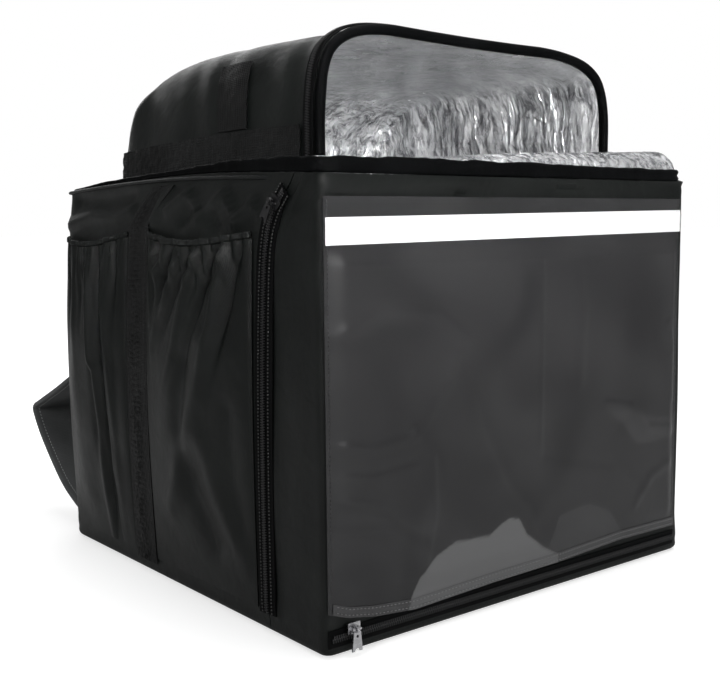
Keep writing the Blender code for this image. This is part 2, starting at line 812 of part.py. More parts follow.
def band_rows():
    """Sections of the hood under the base band, foot first."""
    top = BAND_TALL / (HOOD_TOP - BODY_HEIGHT - PAD_EDGE_RIGHT)
    inside = [row["height"] for row in HOOD_ROWS if row["height"] < top * 0.98]
    return [hood_table_row(share) for share in inside + [top]]


def arch_rings(section):
    """Rings along the hood's front edge; a section row holds lift off the hood and distance behind."""
    rings = []
    for place, out in arch_line():
        ring = []
        for lift, behind in section:
            spot = place + out * lift
            ring.append(soft(spot.x, HOOD_FRONT + behind, spot.y))
        rings.append(ring)
    return rings


def build_arch(parts):
    """The bound edge of the hood's mouth and the half of its zip that runs behind it."""
    outer = ARCH_BINDING_PROUD
    inner = -(HOOD_WALL + LINING + GAP + ARCH_BINDING_PROUD)
    near = -GAP
    far = -GAP - ARCH_BINDING_DEEP
    bevel = ARCH_BINDING_DEEP * 0.3
    binding = (
        (inner, near), (outer, near), (outer, far + bevel), (outer - bevel, far),
        (inner + bevel, far), (inner, far + bevel),
    )
    sweep("hood_edge_binding", arch_rings(binding), BINDING, parts)
    low = ARCH_LIFT
    start = HOOD_ZIP_SETBACK
    end = start + HOOD_ZIP_WIDTH
    tape = low + ZIP_TAPE_THICK
    coil_end = start + ZIP_COIL
    zip_half = (
        (low, start), (low + ZIP_COIL_THICK, start), (low + ZIP_COIL_THICK, coil_end),
        (tape, coil_end + ZIP_TAPE_THICK), (tape, end), (low, end),
    )
    sweep("hood_zip", arch_rings(zip_half), ZIP, parts)


def build_hood_patch(side, side_name, parts):
    """A length of webbing sewn on the side of the hood above its base band."""
    span = HOOD_TOP - BODY_HEIGHT - PAD_EDGE_RIGHT
    low = (BAND_TALL + WEBBING_THICK) / span
    high = low + HOOD_PATCH_TALL / span
    inside = [row["height"] for row in HOOD_ROWS if low * 1.02 < row["height"] < high * 0.98]
    rows = []
    for share in [low] + inside + [high]:
        table = hood_table_row(share)
        x = side * (HOOD_HALF - HOOD_ROUND_SIDE * table[side_name])
        row = []
        for across in shares(2):
            setback = HOOD_PATCH_SETBACK + (across - 0.5) * HOOD_PATCH_WIDTH
            row.append(soft(x, setback - BODY_DEPTH / 2, hood_height(x, share)))
        rows.append(row if side > 0 else row[::-1])
    sheet(f"hood_webbing_{side_name}", rows, WEBBING, parts, lift=GAP * 1.5, thickness=WEBBING_THICK)


# Shoulder straps

def smooth_line(points, count):
    """Points along a smooth curve through the given ones."""
    padded = [points[0] * 2 - points[1]] + points + [points[-1] * 2 - points[-2]]
    line = []
    for i in range(len(points) - 1):
        a, b, c, d = padded[i:i + 4]
        for step in range(count):
            t = step / count
            line.append(0.5 * (
                2 * b + (c - a) * t + (2 * a - 5 * b + 4 * c - d) * t ** 2
                + (3 * b - 3 * c + d - a) * t ** 3
            ))
    line.append(points[-1])
    return line


def build_strap(side, side_name, parts):
    """A padded shoulder strap, fixed near the top of the back and at its lower corner."""
    rest = STRAP_THICK / 2 + GAP
    outer = BODY_WIDTH / 2 - STRAP_OUTER_MARGIN - STRAP_WIDTH / 2
    points = []
    for row in STRAP_LINE:
        x = side * between(STRAP_TOP_SPREAD, outer, row["out"])
        y = BODY_DEPTH / 2 + rest + (STRAP_REACH - STRAP_THICK) * row["reach"]
        points.append(Vector((x, y, between(STRAP_FOOT, BODY_HEIGHT - STRAP_DROP, row["height"]))))
    line = smooth_line(points, 2)
    rings = []
    for i, point in enumerate(line):
        centre = Vector((point.x, max(point.y, BODY_DEPTH / 2 + rest), point.z))
        along = (line[min(i + 1, len(line) - 1)] - line[max(i - 1, 0)]).normalized()
        thick = Vector((1.0, 0.0, 0.0)).cross(along).normalized()
        half = Vector((STRAP_WIDTH / 2, 0.0, 0.0))
        ring = [centre + half * across + thick * (STRAP_THICK / 2 * out) for across, out in STRAP_SECTION]
        rings.append([soft(*place) for place in ring])
    sweep(f"shoulder_strap_{side_name}", rings, WEBBING, parts)


# Zip sliders and pulls

def outline_mesh(name, loops, thickness):
    """A flat plate from closed outlines in the XY plane, the first one outside and the rest holes."""
    curve = bpy.data.curves.new(name, "CURVE")
    curve.dimensions = "2D"
    curve.fill_mode = "BOTH"
    curve.extrude = thickness / 2
    for loop in loops:
        spline = curve.splines.new("POLY")
        spline.points.add(len(loop) - 1)
        for knot, (x, y) in zip(spline.points, loop):
            knot.co = (x, y, 0.0, 1.0)
        spline.use_cyclic_u = True
    holder = bpy.data.objects.new(name, curve)
    bpy.context.scene.collection.objects.link(holder)
    graph = bpy.context.evaluated_depsgraph_get()
    mesh = bpy.data.meshes.new_from_object(holder.evaluated_get(graph))
    bpy.data.objects.remove(holder, do_unlink=True)
    bm = bmesh.new()
    bm.from_mesh(mesh)
    bmesh.ops.remove_doubles(bm, verts=bm.verts, dist=1e-6)
    bmesh.ops.recalc_face_normals(bm, faces=bm.faces)
    bm.to_mesh(mesh)
    bm.free()
    return mesh


def box_loop(low_x, high_x, low_y, high_y):
    return [(low_x, low_y), (high_x, low_y), (high_x, high_y), (low_x, high_y)]


def join_helper(piece, mesh, helpers):
    """Join a helper solid to a piece."""
    helper = bpy.data.objects.new(f"{piece.name}_helper", mesh)
    helpers.objects.link(helper)
    helper.matrix_world = piece.matrix_world
    helper.hide_render = True
    helper.display_type = "WIRE"
    union = piece.modifiers.new("join", "BOOLEAN")
    union.operation = "UNION"
    union.solver = "EXACT"
    union.object = helper


BAR_TO_PLATE = PULL_EYE_RADIUS + RUNNING_CLEAR
PIVOT_LIFT = GAP + ZIP_COIL_THICK + GAP + SLIDER_PLATE + BAR_TO_PLATE


def build_slider(name, place, finish, parts, helpers):
    """A slider plate with a bridge; its own X lies along the bridge's bar and -Y points outwards."""
    plate_near = BAR_TO_PLATE
    plate_far = BAR_TO_PLATE + SLIDER_PLATE
    plate = outline_mesh(
        name, [box_loop(-SLIDER_LONG / 2, SLIDER_LONG / 2, plate_near, plate_far)], SLIDER_TALL,
    )
    piece = add_object(name, plate, finish, parts)
    piece.matrix_world = place
    post = BRIDGE_OUTER / 2
    inner = post - BRIDGE_BAR
    sunk = plate_near + SLIDER_PLATE / 2
    bar = BRIDGE_BAR / 2
    frame = [
        (-post, sunk), (-post, -bar), (post, -bar), (post, sunk),
        (inner, sunk), (inner, bar), (-inner, bar), (-inner, sunk),
    ]
    join_helper(piece, outline_mesh(name, [frame], BRIDGE_BAR), helpers)


def build_pull(name, place, finish, parts, helpers):
    """A pull tab that hangs from its slider's bar by an eye at its top."""
    eye_low = (PULL_EYE_RADIUS + PULL_EYE_HOLE) / 2
    tip = -eye_low - PULL_LENGTH
    notch = arc(0.0, tip, PULL_NOTCH_RADIUS, 2, 0, 6)
    outline = [(PULL_TOP_WIDE / 2, -eye_low), (-PULL_TOP_WIDE / 2, -eye_low), (-PULL_FOOT_WIDE / 2, tip)]
    outline += notch + [(PULL_FOOT_WIDE / 2, tip)]
    hole_z = -eye_low - PULL_LENGTH * 0.22
    hole = arc(0.0, hole_z, PULL_HOLE_RADIUS, 0, 4, 8)[:-1]
    tab = outline_mesh(name, [outline, hole], PULL_THICK)
    tab.transform(Matrix.Rotation(math.pi / 2, 4, "X"))
    piece = add_object(name, tab, finish, parts)
    piece.matrix_world = place
    eye = outline_mesh(
        name,
        [arc(0.0, 0.0, PULL_EYE_RADIUS, 0, 4, 12)[:-1], arc(0.0, 0.0, PULL_EYE_HOLE, 0, 4, 12)[:-1]],
        PULL_EYE_WIDE,
    )
    eye.transform(Matrix.Rotation(math.pi / 2, 4, "Y"))
    join_helper(piece, eye, helpers)


def axes_matrix(x_axis, y_axis, z_axis, place):
    matrix = Matrix((x_axis, y_axis, z_axis)).transposed().to_4x4()
    matrix.translation = place
    return matrix


def side_slider_place(side):
    """Where a side slider sits on its zip, turned to the zip's slope."""
    z = BODY_HEIGHT - SIDE_SLIDER_DROP
    step = BASE_ROUND / 2
    slope = Vector((0.0, zip_setback(z + step) - zip_setback(z - step), 2 * step)).normalized()
    inwards = Vector((-side, 0.0, 0.0))
    place = side_point(side, zip_setback(z), z, PIVOT_LIFT)
    return axes_matrix(inwards.cross(slope), inwards, slope, place)


def build_zip_pieces(parts, helpers):
    inset = -BODY_WIDTH / 2 + WINDOW_SLIDER_INSET
    height = WINDOW_ZIP_HEIGHT + WINDOW_SLIDER_RISE
    place = Matrix.Translation(soft(inset, -BODY_DEPTH / 2 - PIVOT_LIFT, height))
    build_slider("window_zip_slider", place, STEEL, parts, helpers)
    build_pull("window_zip_pull", place, STEEL, parts, helpers)
    for side, side_name in ((-1, "left"), (1, "right")):
        place = side_slider_place(side)
        build_slider(f"side_zip_slider_{side_name}", place, BLACK_METAL, parts, helpers)
        build_pull(f"side_zip_pull_{side_name}", place, BLACK_METAL, parts, helpers)


clear_scene()
bag = make_collection("food_delivery_bag")
cutters = make_collection("joining_helpers")
build_walls(bag)
build_base(bag)
build_sides(bag)
build_piping(bag)
build_window(bag)
build_lid(bag)
build_hood(bag)
for strap_side, strap_name in ((-1, "left"), (1, "right")):
    build_strap(strap_side, strap_name, bag)
build_zip_pieces(bag, cutters)
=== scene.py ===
import math

import bpy
import bmesh
from mathutils import Matrix, Vector, noise


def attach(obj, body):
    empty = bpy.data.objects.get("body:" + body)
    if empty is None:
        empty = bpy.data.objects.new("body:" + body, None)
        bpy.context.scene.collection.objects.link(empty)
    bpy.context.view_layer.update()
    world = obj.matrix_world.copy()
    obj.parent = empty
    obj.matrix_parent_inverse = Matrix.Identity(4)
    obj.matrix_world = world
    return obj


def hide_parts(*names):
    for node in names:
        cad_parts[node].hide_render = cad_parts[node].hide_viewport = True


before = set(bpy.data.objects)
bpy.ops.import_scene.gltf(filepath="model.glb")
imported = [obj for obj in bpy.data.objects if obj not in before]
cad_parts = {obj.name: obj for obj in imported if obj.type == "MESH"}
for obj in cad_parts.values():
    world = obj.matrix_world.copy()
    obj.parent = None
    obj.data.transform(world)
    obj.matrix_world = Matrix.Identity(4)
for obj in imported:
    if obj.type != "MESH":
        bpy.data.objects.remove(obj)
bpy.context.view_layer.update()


# Studio: a plain pale floor in a white room, lit by large soft panels.
# The camera stands before the bag's front left corner, a little above its middle.

def deselect():
    bpy.ops.object.select_all(action="DESELECT")


def soft_panel(name, place, target, size, power, spread=180.0):
    lamp = bpy.data.lights.new(name, "AREA")
    lamp.shape = "RECTANGLE"
    lamp.size, lamp.size_y = size
    lamp.energy = power
    lamp.spread = math.radians(spread)
    holder = bpy.data.objects.new(name, lamp)
    bpy.context.scene.collection.objects.link(holder)
    aim = (Vector(target) - Vector(place)).to_track_quat("-Z", "Y")
    holder.matrix_world = Matrix.Translation(place) @ aim.to_matrix().to_4x4()


deselect()
bpy.ops.mesh.primitive_plane_add(size=60.0, location=(0.0, 0.0, -0.0004))
floor = bpy.context.object
floor.name = "studio_floor"
paper = bpy.data.materials.new("floor_paper")
paper.use_nodes = True
paper_nodes = paper.node_tree.nodes
paper_shader = paper_nodes["Principled BSDF"]
paper_shader.inputs["Base Color"].default_value = (0.62, 0.62, 0.62, 1.0)
paper_shader.inputs["Roughness"].default_value = 0.8
paper_shader.inputs["Emission Color"].default_value = (0.85, 0.85, 0.85, 1.0)
far = paper_nodes.new("ShaderNodeVectorMath")
far.operation = "LENGTH"
fade = paper_nodes.new("ShaderNodeMapRange")
fade.inputs["From Min"].default_value = 0.30
fade.inputs["From Max"].default_value = 1.10
fade.inputs["To Min"].default_value = 0.68
seen = paper_nodes.new("ShaderNodeMath")
seen.operation = "MULTIPLY"
paper.node_tree.links.new(paper_nodes.new("ShaderNodeTexCoord").outputs["Object"], far.inputs[0])
paper.node_tree.links.new(far.outputs["Value"], fade.inputs["Value"])
paper.node_tree.links.new(fade.outputs["Result"], seen.inputs[0])
paper.node_tree.links.new(paper_nodes.new("ShaderNodeLightPath").outputs["Is Camera Ray"], seen.inputs[1])
paper.node_tree.links.new(seen.outputs["Value"], paper_shader.inputs["Emission Strength"])
floor.data.materials.append(paper)

room = bpy.data.worlds.new("white_room")
room.use_nodes = True
room_nodes = room.node_tree.nodes
dim = room_nodes["Background"]
dim.inputs["Strength"].default_value = 0.28
backdrop = room_nodes.new("ShaderNodeBackground")
backdrop.inputs["Strength"].default_value = 1.0
split = room_nodes.new("ShaderNodeMixShader")
for light in (dim, backdrop):
    light.inputs["Color"].default_value = (1.0, 1.0, 1.0, 1.0)
room.node_tree.links.new(room_nodes.new("ShaderNodeLightPath").outputs["Is Camera Ray"], split.inputs[0])
room.node_tree.links.new(dim.outputs[0], split.inputs[1])
room.node_tree.links.new(backdrop.outputs[0], split.inputs[2])
room.node_tree.links.new(split.outputs[0], room_nodes["World Output"].inputs["Surface"])
bpy.context.scene.world = room
soft_panel("panel_above", (0.2, -0.2, 2.3), (0.0, 0.0, 0.3), (2.0, 1.6), 34.0)
soft_panel("panel_left", (-2.0, -0.9, 1.3), (-0.1, 0.0, 0.2), (0.40, 1.1), 16.0)
soft_panel("panel_front", (0.0, -2.4, 0.66), (0.0, -0.1, 0.42), (1.6, 0.8), 26.0)
soft_panel("panel_mouth", (-1.0, -2.0, 0.60), (0.03, 0.0, 0.480), (0.5, 0.12), 0.95, 20.0)
soft_panel("panel_back", (0.6, 2.4, 1.3), (0.0, 0.1, 0.25), (1.6, 1.2), 16.0)

lens = bpy.data.cameras.new("camera")
lens.sensor_width = 36.0
lens.lens = 54.8
camera = bpy.data.objects.new("camera", lens)
bpy.context.scene.collection.objects.link(camera)
turn = Matrix.Rotation(math.radians(-38.55), 4, "Z") @ Matrix.Rotation(math.radians(83.84), 4, "X")
turn = turn @ Matrix.Rotation(math.radians(-0.55), 4, "Z")
camera.matrix_world = Matrix.Translation((-0.7153, -0.8898, 0.3386)) @ turn
bpy.context.scene.camera = camera
bpy.context.scene.view_settings.view_transform = "Standard"


# Base panel: the flat floor of the bag, foam between two layers of coated nylon.
# It is sewn inside the lip of the walls and carries the bag on the ground.

NYLON_DARK = (0.0026, 0.0033, 0.0030)
NYLON_LIGHT = (0.0060, 0.0072, 0.0066)
NYLON_YARN = 0.0007


def add_node(tree, kind, values=None, links=None, **settings):
    """Add a shader node, with its socket values, the outputs that feed it and its own settings."""
    made = tree.nodes.new(kind)
    for key, value in settings.items():
        setattr(made, key, value)
    for key, value in (values or {}).items():
        made.inputs[key].default_value = value
    for key, output in (links or {}).items():
        tree.links.new(output, made.inputs[key])
    return made


def start_material(name, coords):
    """A new material: itself, its node tree, its shader and the coordinates that its patterns follow."""
    material = bpy.data.materials.new(name)
    material.use_nodes = True
    tree = material.node_tree
    source = tree.nodes.new("ShaderNodeTexCoord").outputs[coords]
    return material, tree, tree.nodes["Principled BSDF"], source


def grain(tree, source, scale, detail, distortion=0.0, roughness=0.5):
    """An uneven pattern that has no direction."""
    return add_node(tree, "ShaderNodeTexNoise",
                    {"Scale": scale, "Detail": detail, "Distortion": distortion, "Roughness": roughness},
                    {"Vector": source})


def two_tones(tree, source, dark, light, start=0.0, end=1.0):
    """Two colours that follow a pattern."""
    ramp = add_node(tree, "ShaderNodeValToRGB", None, {"Fac": source})
    ramp.color_ramp.elements[0].position = start
    ramp.color_ramp.elements[0].color = (*dark, 1.0)
    ramp.color_ramp.elements[1].position = end
    ramp.color_ramp.elements[1].color = (*light, 1.0)
    return ramp.outputs["Color"]


def vary_gloss(tree, shader, source, low, high):
    """Let the roughness follow a pattern."""
    rough = add_node(tree, "ShaderNodeMapRange", {"To Min": low, "To Max": high}, {"Value": source})
    tree.links.new(rough.outputs["Result"], shader.inputs["Roughness"])


def relief(tree, source, distance, strength=1.0, under=None):
    """Let the surface rise and fall with a pattern, on top of another relief if there is one."""
    links = {"Height": source}
    if under is not None:
        links["Normal"] = under
    bump = add_node(tree, "ShaderNodeBump", {"Strength": strength, "Distance": distance}, links)
    return bump.outputs["Normal"]


def weave(tree, source, pitch_x, pitch_y, second):
    """Threads crossing at a plain weave, as a height from 0 to 1."""
    per_metre = 0.31416
    one = add_node(tree, "ShaderNodeTexWave", {"Scale": per_metre / pitch_x}, {"Vector": source},
                   bands_direction="X")
    two = add_node(tree, "ShaderNodeTexWave", {"Scale": per_metre / pitch_y}, {"Vector": source},
                   bands_direction=second)
    both = add_node(tree, "ShaderNodeMath", None, {0: one.outputs["Fac"], 1: two.outputs["Fac"]},
                    operation="MULTIPLY")
    return both.outputs[0]


def cloth_material(name, dark, light, yarn, roughness, weave_depth=0.0001, crease_depth=0.0008,
                   crease_scale=55.0, coords="UV", rib=None, specular=0.16):
    """A woven finish: threads, small creases and worn lighter places, along the cloth or in space."""
    material, tree, shader, source = start_material(name, coords)
    rib_x, rib_y = rib or (yarn, yarn)
    threads = weave(tree, source, rib_x, rib_y, "Z" if coords == "Object" else "Y")
    creases = grain(tree, source, crease_scale, 5.0, 0.4, 0.55).outputs["Fac"]
    wear = grain(tree, source, 14.0, 4.0).outputs["Fac"]
    tree.links.new(two_tones(tree, wear, dark, light, 0.35, 0.7), shader.inputs["Base Color"])
    vary_gloss(tree, shader, creases, roughness - 0.06, roughness + 0.08)
    creased = relief(tree, creases, crease_depth)
    tree.links.new(relief(tree, threads, weave_depth, under=creased), shader.inputs["Normal"])
    shader.inputs["Specular IOR Level"].default_value = specular
    return material


def dress(node_name, material):
    """Give a piece of the frame that keeps its shape its real finish."""
    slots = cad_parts[node_name].material_slots
    for holder in slots:
        holder.material = material
    if not slots:
        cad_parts[node_name].data.materials.append(material)


nylon_plain = cloth_material("nylon_base", NYLON_DARK, NYLON_LIGHT, NYLON_YARN, 0.5, coords="Object")
dress("base_panel", nylon_plain)


# Body wall: the two sides and the back of the box in one length of nylon over 5 mm of foam.
# It is sewn round its foot and bound at the top; the load pushes it out and the cloth creases.

WIDTH = 0.454
DEPTH = 0.462
HEIGHT = 0.375
WALL = 0.005
REAR_CORNER = 0.014
FOOT_ROUND = 0.006
FOOT_LIP = 0.005
HALF_SEAM = 0.0005
# Side zip: height as a share of the bag's, then setback from the front as a share of its depth
ZIP_LINE = (
    (0.00, 0.163), (0.04, 0.170), (0.12, 0.169), (0.30, 0.167), (0.50, 0.164), (0.70, 0.160),
    (0.80, 0.157), (0.86, 0.152), (0.91, 0.138), (0.955, 0.110), (1.00, 0.062),
)


def mix(low, high, share):
    return low + (high - low) * share


def steps(count):
    return [i / count for i in range(count + 1)]


def ease(low, high, value):
    """Smooth step from 0 at low to 1 at high."""
    share = min(max((value - low) / (high - low), 0.0), 1.0)
    return share * share * (3.0 - 2.0 * share)


def look_up(table, place):
    """Read a short table of places and values along straight lines between its rows."""
    for (low, low_value), (high, high_value) in zip(table, table[1:]):
        if place <= high:
            return mix(low_value, high_value, max(place - low, 0.0) / (high - low))
    return table[-1][1]


def slack(x, y, z):
    """Carry a point of the plain box to the slack shape that the filled bag takes."""
    up = min(max(z / HEIGHT, 0.0), 1.0)
    back = min(max(y / DEPTH + 0.5, 0.0), 1.0)
    side = x / (WIDTH / 2)
    belly = math.sin(math.pi * up)
    middle = math.sin(math.pi * back)
    raised = 0.007 * middle * min(side * side / 0.88, 1.0)
    slumped = 0.006 * back ** 2 * ease(-0.3, -0.9, side)
    return Vector((
        x + side * 0.006 * belly * math.sin(math.pi * 0.8 * back),
        y + 0.006 * belly * max(1.0 - 0.6 * side * side, 0.0) * back ** 2 - 0.014 * back * up ** 4,
        z + up ** 4 * (raised - slumped),
    ))


def zip_setback(z):
    """Distance of the side zip behind the front, on a smooth line through its table."""
    share = z / HEIGHT
    nearby = [look_up(ZIP_LINE, share + shift) for shift in (-0.03, -0.015, 0.0, 0.015, 0.03)]
    return DEPTH * sum(nearby) / 5


def turned(centre_x, centre_y, radius, start, end, count):
    """Points of an arc in plan, angles in quarter turns anticlockwise from +X."""
    points = []
    for share in steps(count):
        angle = mix(start, end, share) * math.pi / 2
        points.append((centre_x + radius * math.cos(angle), centre_y + radius * math.sin(angle)))
    return points


def foot_heights(rows):
    """Heights and insets up a wall: its lip under the bag, its rounded foot, then the straight wall."""
    low = [(0.0, FOOT_ROUND + FOOT_LIP * share) for share in (1.0, 0.5)]
    for share in steps(5):
        angle = share * math.pi / 2
        low.append((FOOT_ROUND * (1 - math.cos(angle)), FOOT_ROUND * (1 - math.sin(angle))))
    return low + [(mix(FOOT_ROUND, HEIGHT, share), 0.0) for share in steps(rows)[1:]]


def evenly(points, count):
    """Points spaced evenly along a line."""
    lengths = [0.0]
    for first, second in zip(points, points[1:]):
        lengths.append(lengths[-1] + (second - first).length)
    line = []
    i = 0
    for share in steps(count):
        target = share * lengths[-1]
        while i < len(points) - 2 and lengths[i + 1] < target:
            i += 1
        span = max(lengths[i + 1] - lengths[i], 1e-9)
        line.append(points[i].lerp(points[i + 1], (target - lengths[i]) / span))
    return line


def lay_cloth(name, rows):
    """A cloth as a grid on the given rows of points, with a UV map that counts metres along it."""
    columns = len(rows[0]) - 1
    height = len(rows) - 1
    deselect()
    bpy.ops.mesh.primitive_grid_add(x_subdivisions=columns, y_subdivisions=height, size=1.0)
    piece = bpy.context.object
    piece.name = name
    mesh = piece.data
    places = [(round((v.co.x + 0.5) * columns), round((v.co.y + 0.5) * height)) for v in mesh.vertices]
    for vert, (column, row) in zip(mesh.vertices, places):
        vert.co = rows[row][column]
    middle_row = rows[height // 2]
    across = [0.0]
    for first, second in zip(middle_row, middle_row[1:]):
        across.append(across[-1] + (second - first).length)
    up = [0.0]
    for first, second in zip(rows, rows[1:]):
        up.append(up[-1] + (second[columns // 2] - first[columns // 2]).length)
    layer = mesh.uv_layers.active.data
    for loop in mesh.loops:
        column, row = places[loop.vertex_index]
        layer[loop.index].uv = (across[column], up[row])
    mesh.update()
    bpy.ops.object.shade_smooth()
    return piece


def press(piece, depth, under=0.0):
    """Move a cloth along its normals by a depth, which is found on the cloth that lies over it by under."""
    mesh = piece.data
    moves = [vert.normal * depth(vert.co + vert.normal * under) for vert in mesh.vertices]
    for vert, move in zip(mesh.vertices, moves):
        vert.co += move
    mesh.update()


def pick(piece):
    deselect()
    piece.select_set(True)
    bpy.context.view_layer.objects.active = piece


def give_thickness(piece, thickness, outward=False):
    """Turn a cloth into a wall of its real thickness, measured inwards or outwards."""
    pick(piece)
    wall = piece.modifiers.new("thickness", "SOLIDIFY")
    wall.thickness = thickness
    wall.offset = 1.0 if outward else -1.0
    wall.use_even_offset = False
    bpy.ops.object.modifier_apply(modifier="thickness")
    bpy.ops.object.shade_smooth_by_angle(angle=math.radians(50))


def fit_piece(piece, material, slot, *nodes):
    """Finish a piece: its material, the body that it moves with and the solids that it stands for."""
    piece.data.materials.clear()
    piece.data.materials.append(material)
    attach(piece, "bag")
    if nodes:
        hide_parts(*nodes)


def ridge(point, size, seed):
    """A pattern of soft creases from 0 in the flats to 1 on a crease."""
    place = point / size + Vector((seed, seed * 0.7, seed * 1.3))
    bend = Vector((noise.noise(place * 0.5), noise.noise(place * 0.5 + Vector((7.0, 3.0, 1.0))), 0.0))
    return (1.0 - abs(noise.noise(place + bend * 0.8))) ** 4


def crease_height(along, up, creases):
    """Height of a cloth at a place, where each crease is a line of points with a height and a width."""
    height = 0.0
    for tall, wide, line in creases:
        nearest = 1.0
        for (a, b), (c, d) in zip(line, line[1:]):
            run_a, run_b = c - a, d - b
            share = ((along - a) * run_a + (up - b) * run_b) / (run_a * run_a + run_b * run_b)
            share = min(max(share, 0.0), 1.0)
            nearest = min(nearest, math.hypot(along - a - run_a * share, up - b - run_b * share))
        height += tall * math.exp(-(nearest / wide) ** 2)
    return height


# Creases above the pockets: height and width, then points of setback from the front and height
TOP_CREASES = (
    (0.0046, 0.0048, ((0.232, 0.350), (0.193, 0.365), (0.177, 0.344), (0.134, 0.363), (0.115, 0.340))),
    (0.0042, 0.0042, ((0.115, 0.340), (0.092, 0.356), (0.078, 0.338))),
    (0.0034, 0.0050, ((0.262, 0.340), (0.240, 0.362), (0.226, 0.372))),
    (0.0042, 0.0065, ((0.440, 0.338), (0.385, 0.348), (0.330, 0.344), (0.300, 0.352))),
    (-0.0044, 0.0060, ((0.205, 0.340), (0.190, 0.352), (0.160, 0.347), (0.147, 0.334))),
    (-0.0036, 0.0070, ((0.420, 0.362), (0.350, 0.360), (0.300, 0.366))),
)


def wall_plan(z, inset):
    """The wall's line in plan at a height, from its right zip round the back to its left zip."""
    start = -DEPTH / 2 + zip_setback(z) + HALF_SEAM
    half = WIDTH / 2 - inset
    turn_x = WIDTH / 2 - REAR_CORNER
    turn_y = DEPTH / 2 - REAR_CORNER
    radius = REAR_CORNER - inset
    plan = [(half, mix(start, turn_y, share)) for share in steps(16)[:-1]]
    plan += turned(turn_x, turn_y, radius, 0, 1, 8)
    plan += [(mix(turn_x, -turn_x, share), turn_y + radius) for share in steps(16)[1:-1]]
    plan += turned(-turn_x, turn_y, radius, 1, 2, 8)
    plan += [(-half, mix(turn_y, start, share)) for share in steps(16)[1:]]
    return plan


def wall_slack(co):
    """Creases of the side and rear walls: strong above the pockets, faint on the back."""
    setback = co.y + DEPTH / 2
    edge = ease(0.014, 0.04, co.z) * (1.0 - ease(0.366, 0.374, co.z))
    edge *= ease(0.012, 0.03, setback - zip_setback(co.z))
    on_side = ease(0.20, 0.217, abs(co.x)) * ease(DEPTH, DEPTH - 0.014, setback)
    shown = on_side * ease(0.322, 0.334, co.z)
    folds = crease_height(setback, co.z, TOP_CREASES) if shown > 0 else 0.0
    dents = noise.noise(co / 0.085) * 0.0012 - 0.0009
    back = (1.0 - on_side) * (0.0030 * noise.noise(co / 0.12) - 0.0016 * ridge(co, 0.09, 3.1))
    seam = 0.0011 * math.exp(-((co.z - 0.0095) / 0.0012) ** 2)
    return edge * (dents + back + shown * folds) - seam


nylon = cloth_material("nylon_cloth", NYLON_DARK, NYLON_LIGHT, NYLON_YARN, 0.34)
wall_rows = []
for height, inset in foot_heights(80):
    plan = [slack(x, y, height) for x, y in wall_plan(height, inset)]
    wall_rows.append(evenly(plan, 250))
body_wall = lay_cloth("wall_cloth", wall_rows)
press(body_wall, wall_slack)
give_thickness(body_wall, WALL)
fit_piece(body_wall, nylon, "nylon", "body_wall")


# Front panel: padded nylon that wraps round both front corners to the side zips.
# It hinges down when the zips are open; the clear window is sewn on it.

FRONT_CORNER = 0.007
# Height of the seam under the front's top edge at places along x
TOP_SEAM = ((-0.227, 0.356), (0.0, 0.364), (0.227, 0.371))


def front_plan(z, inset):
    """The front's line in plan at a height, from its left zip round the face to its right zip."""
    end = -DEPTH / 2 + zip_setback(z) - HALF_SEAM
    half = WIDTH / 2 - inset
    turn_x = half - FRONT_CORNER
    turn_y = -DEPTH / 2 + inset + FRONT_CORNER
    plan = [(-half, mix(end, turn_y, share)) for share in steps(8)[:-1]]
    plan += turned(-turn_x, turn_y, FRONT_CORNER, 2, 3, 6)
    plan += [(mix(-turn_x, turn_x, share), turn_y - FRONT_CORNER) for share in steps(20)[1:-1]]
    plan += turned(turn_x, turn_y, FRONT_CORNER, 3, 4, 6)
    plan += [(half, mix(turn_y, end, share)) for share in steps(8)[1:]]
    return plan


def front_slack(co):
    """The padded front: a roll above its top seam, a turned edge along each zip and soft dents."""
    edge = ease(0.014, 0.04, co.z) * (1.0 - ease(0.364, 0.374, co.z))
    face = ease(-0.222, -0.229, co.y)
    seam_height = look_up(TOP_SEAM, co.x)
    roll = 0.0016 * ease(seam_height, seam_height + 0.006, co.z) * ease(0.3752, 0.371, co.z)
    seam = 0.0016 * math.exp(-((co.z - seam_height) / 0.0011) ** 2)
    foot = 0.0011 * math.exp(-((co.z - 0.0095) / 0.0012) ** 2)
    to_zip = zip_setback(co.z) - (co.y + DEPTH / 2)
    turned_edge = 0.0014 * math.exp(-((to_zip - 0.0140) / 0.0016) ** 2) * ease(0.012, 0.02, co.z)
    soft = noise.noise(co / 0.10 + Vector((2.0, 0.0, 5.0))) * 0.0011 - 0.0010
    side = (1.0 - face) * 0.0012 * noise.noise(Vector((4.0, co.y / 0.03, co.z / 0.12)))
    return edge * (soft + side) + (1.0 - face) * turned_edge + face * (roll - seam) - foot


front_rows = []
for height, inset in foot_heights(80):
    plan = [slack(x, y, height) for x, y in front_plan(height, inset)]
    front_rows.append(evenly(plan, 190))
front_panel = lay_cloth("front_cloth", front_rows)
press(front_panel, front_slack)
give_thickness(front_panel, WALL)
fit_piece(front_panel, nylon, "nylon", "front_panel")


# Side webbing: a 40 mm band of ribbed polyester up each side wall, between its two pockets.
# It is stitched along both edges and slants forward above the hems to the top seam.

WEBBING_WIDE = 0.040
WEBBING_SETBACK = 0.288
WEBBING_THICK = 0.0018
WEBBING_FOOT = 0.012
WEBBING_TOP = 0.3675
WEBBING_BEND = 0.334
WEBBING_SLANT = 0.046
SEW_GAP = 0.0003


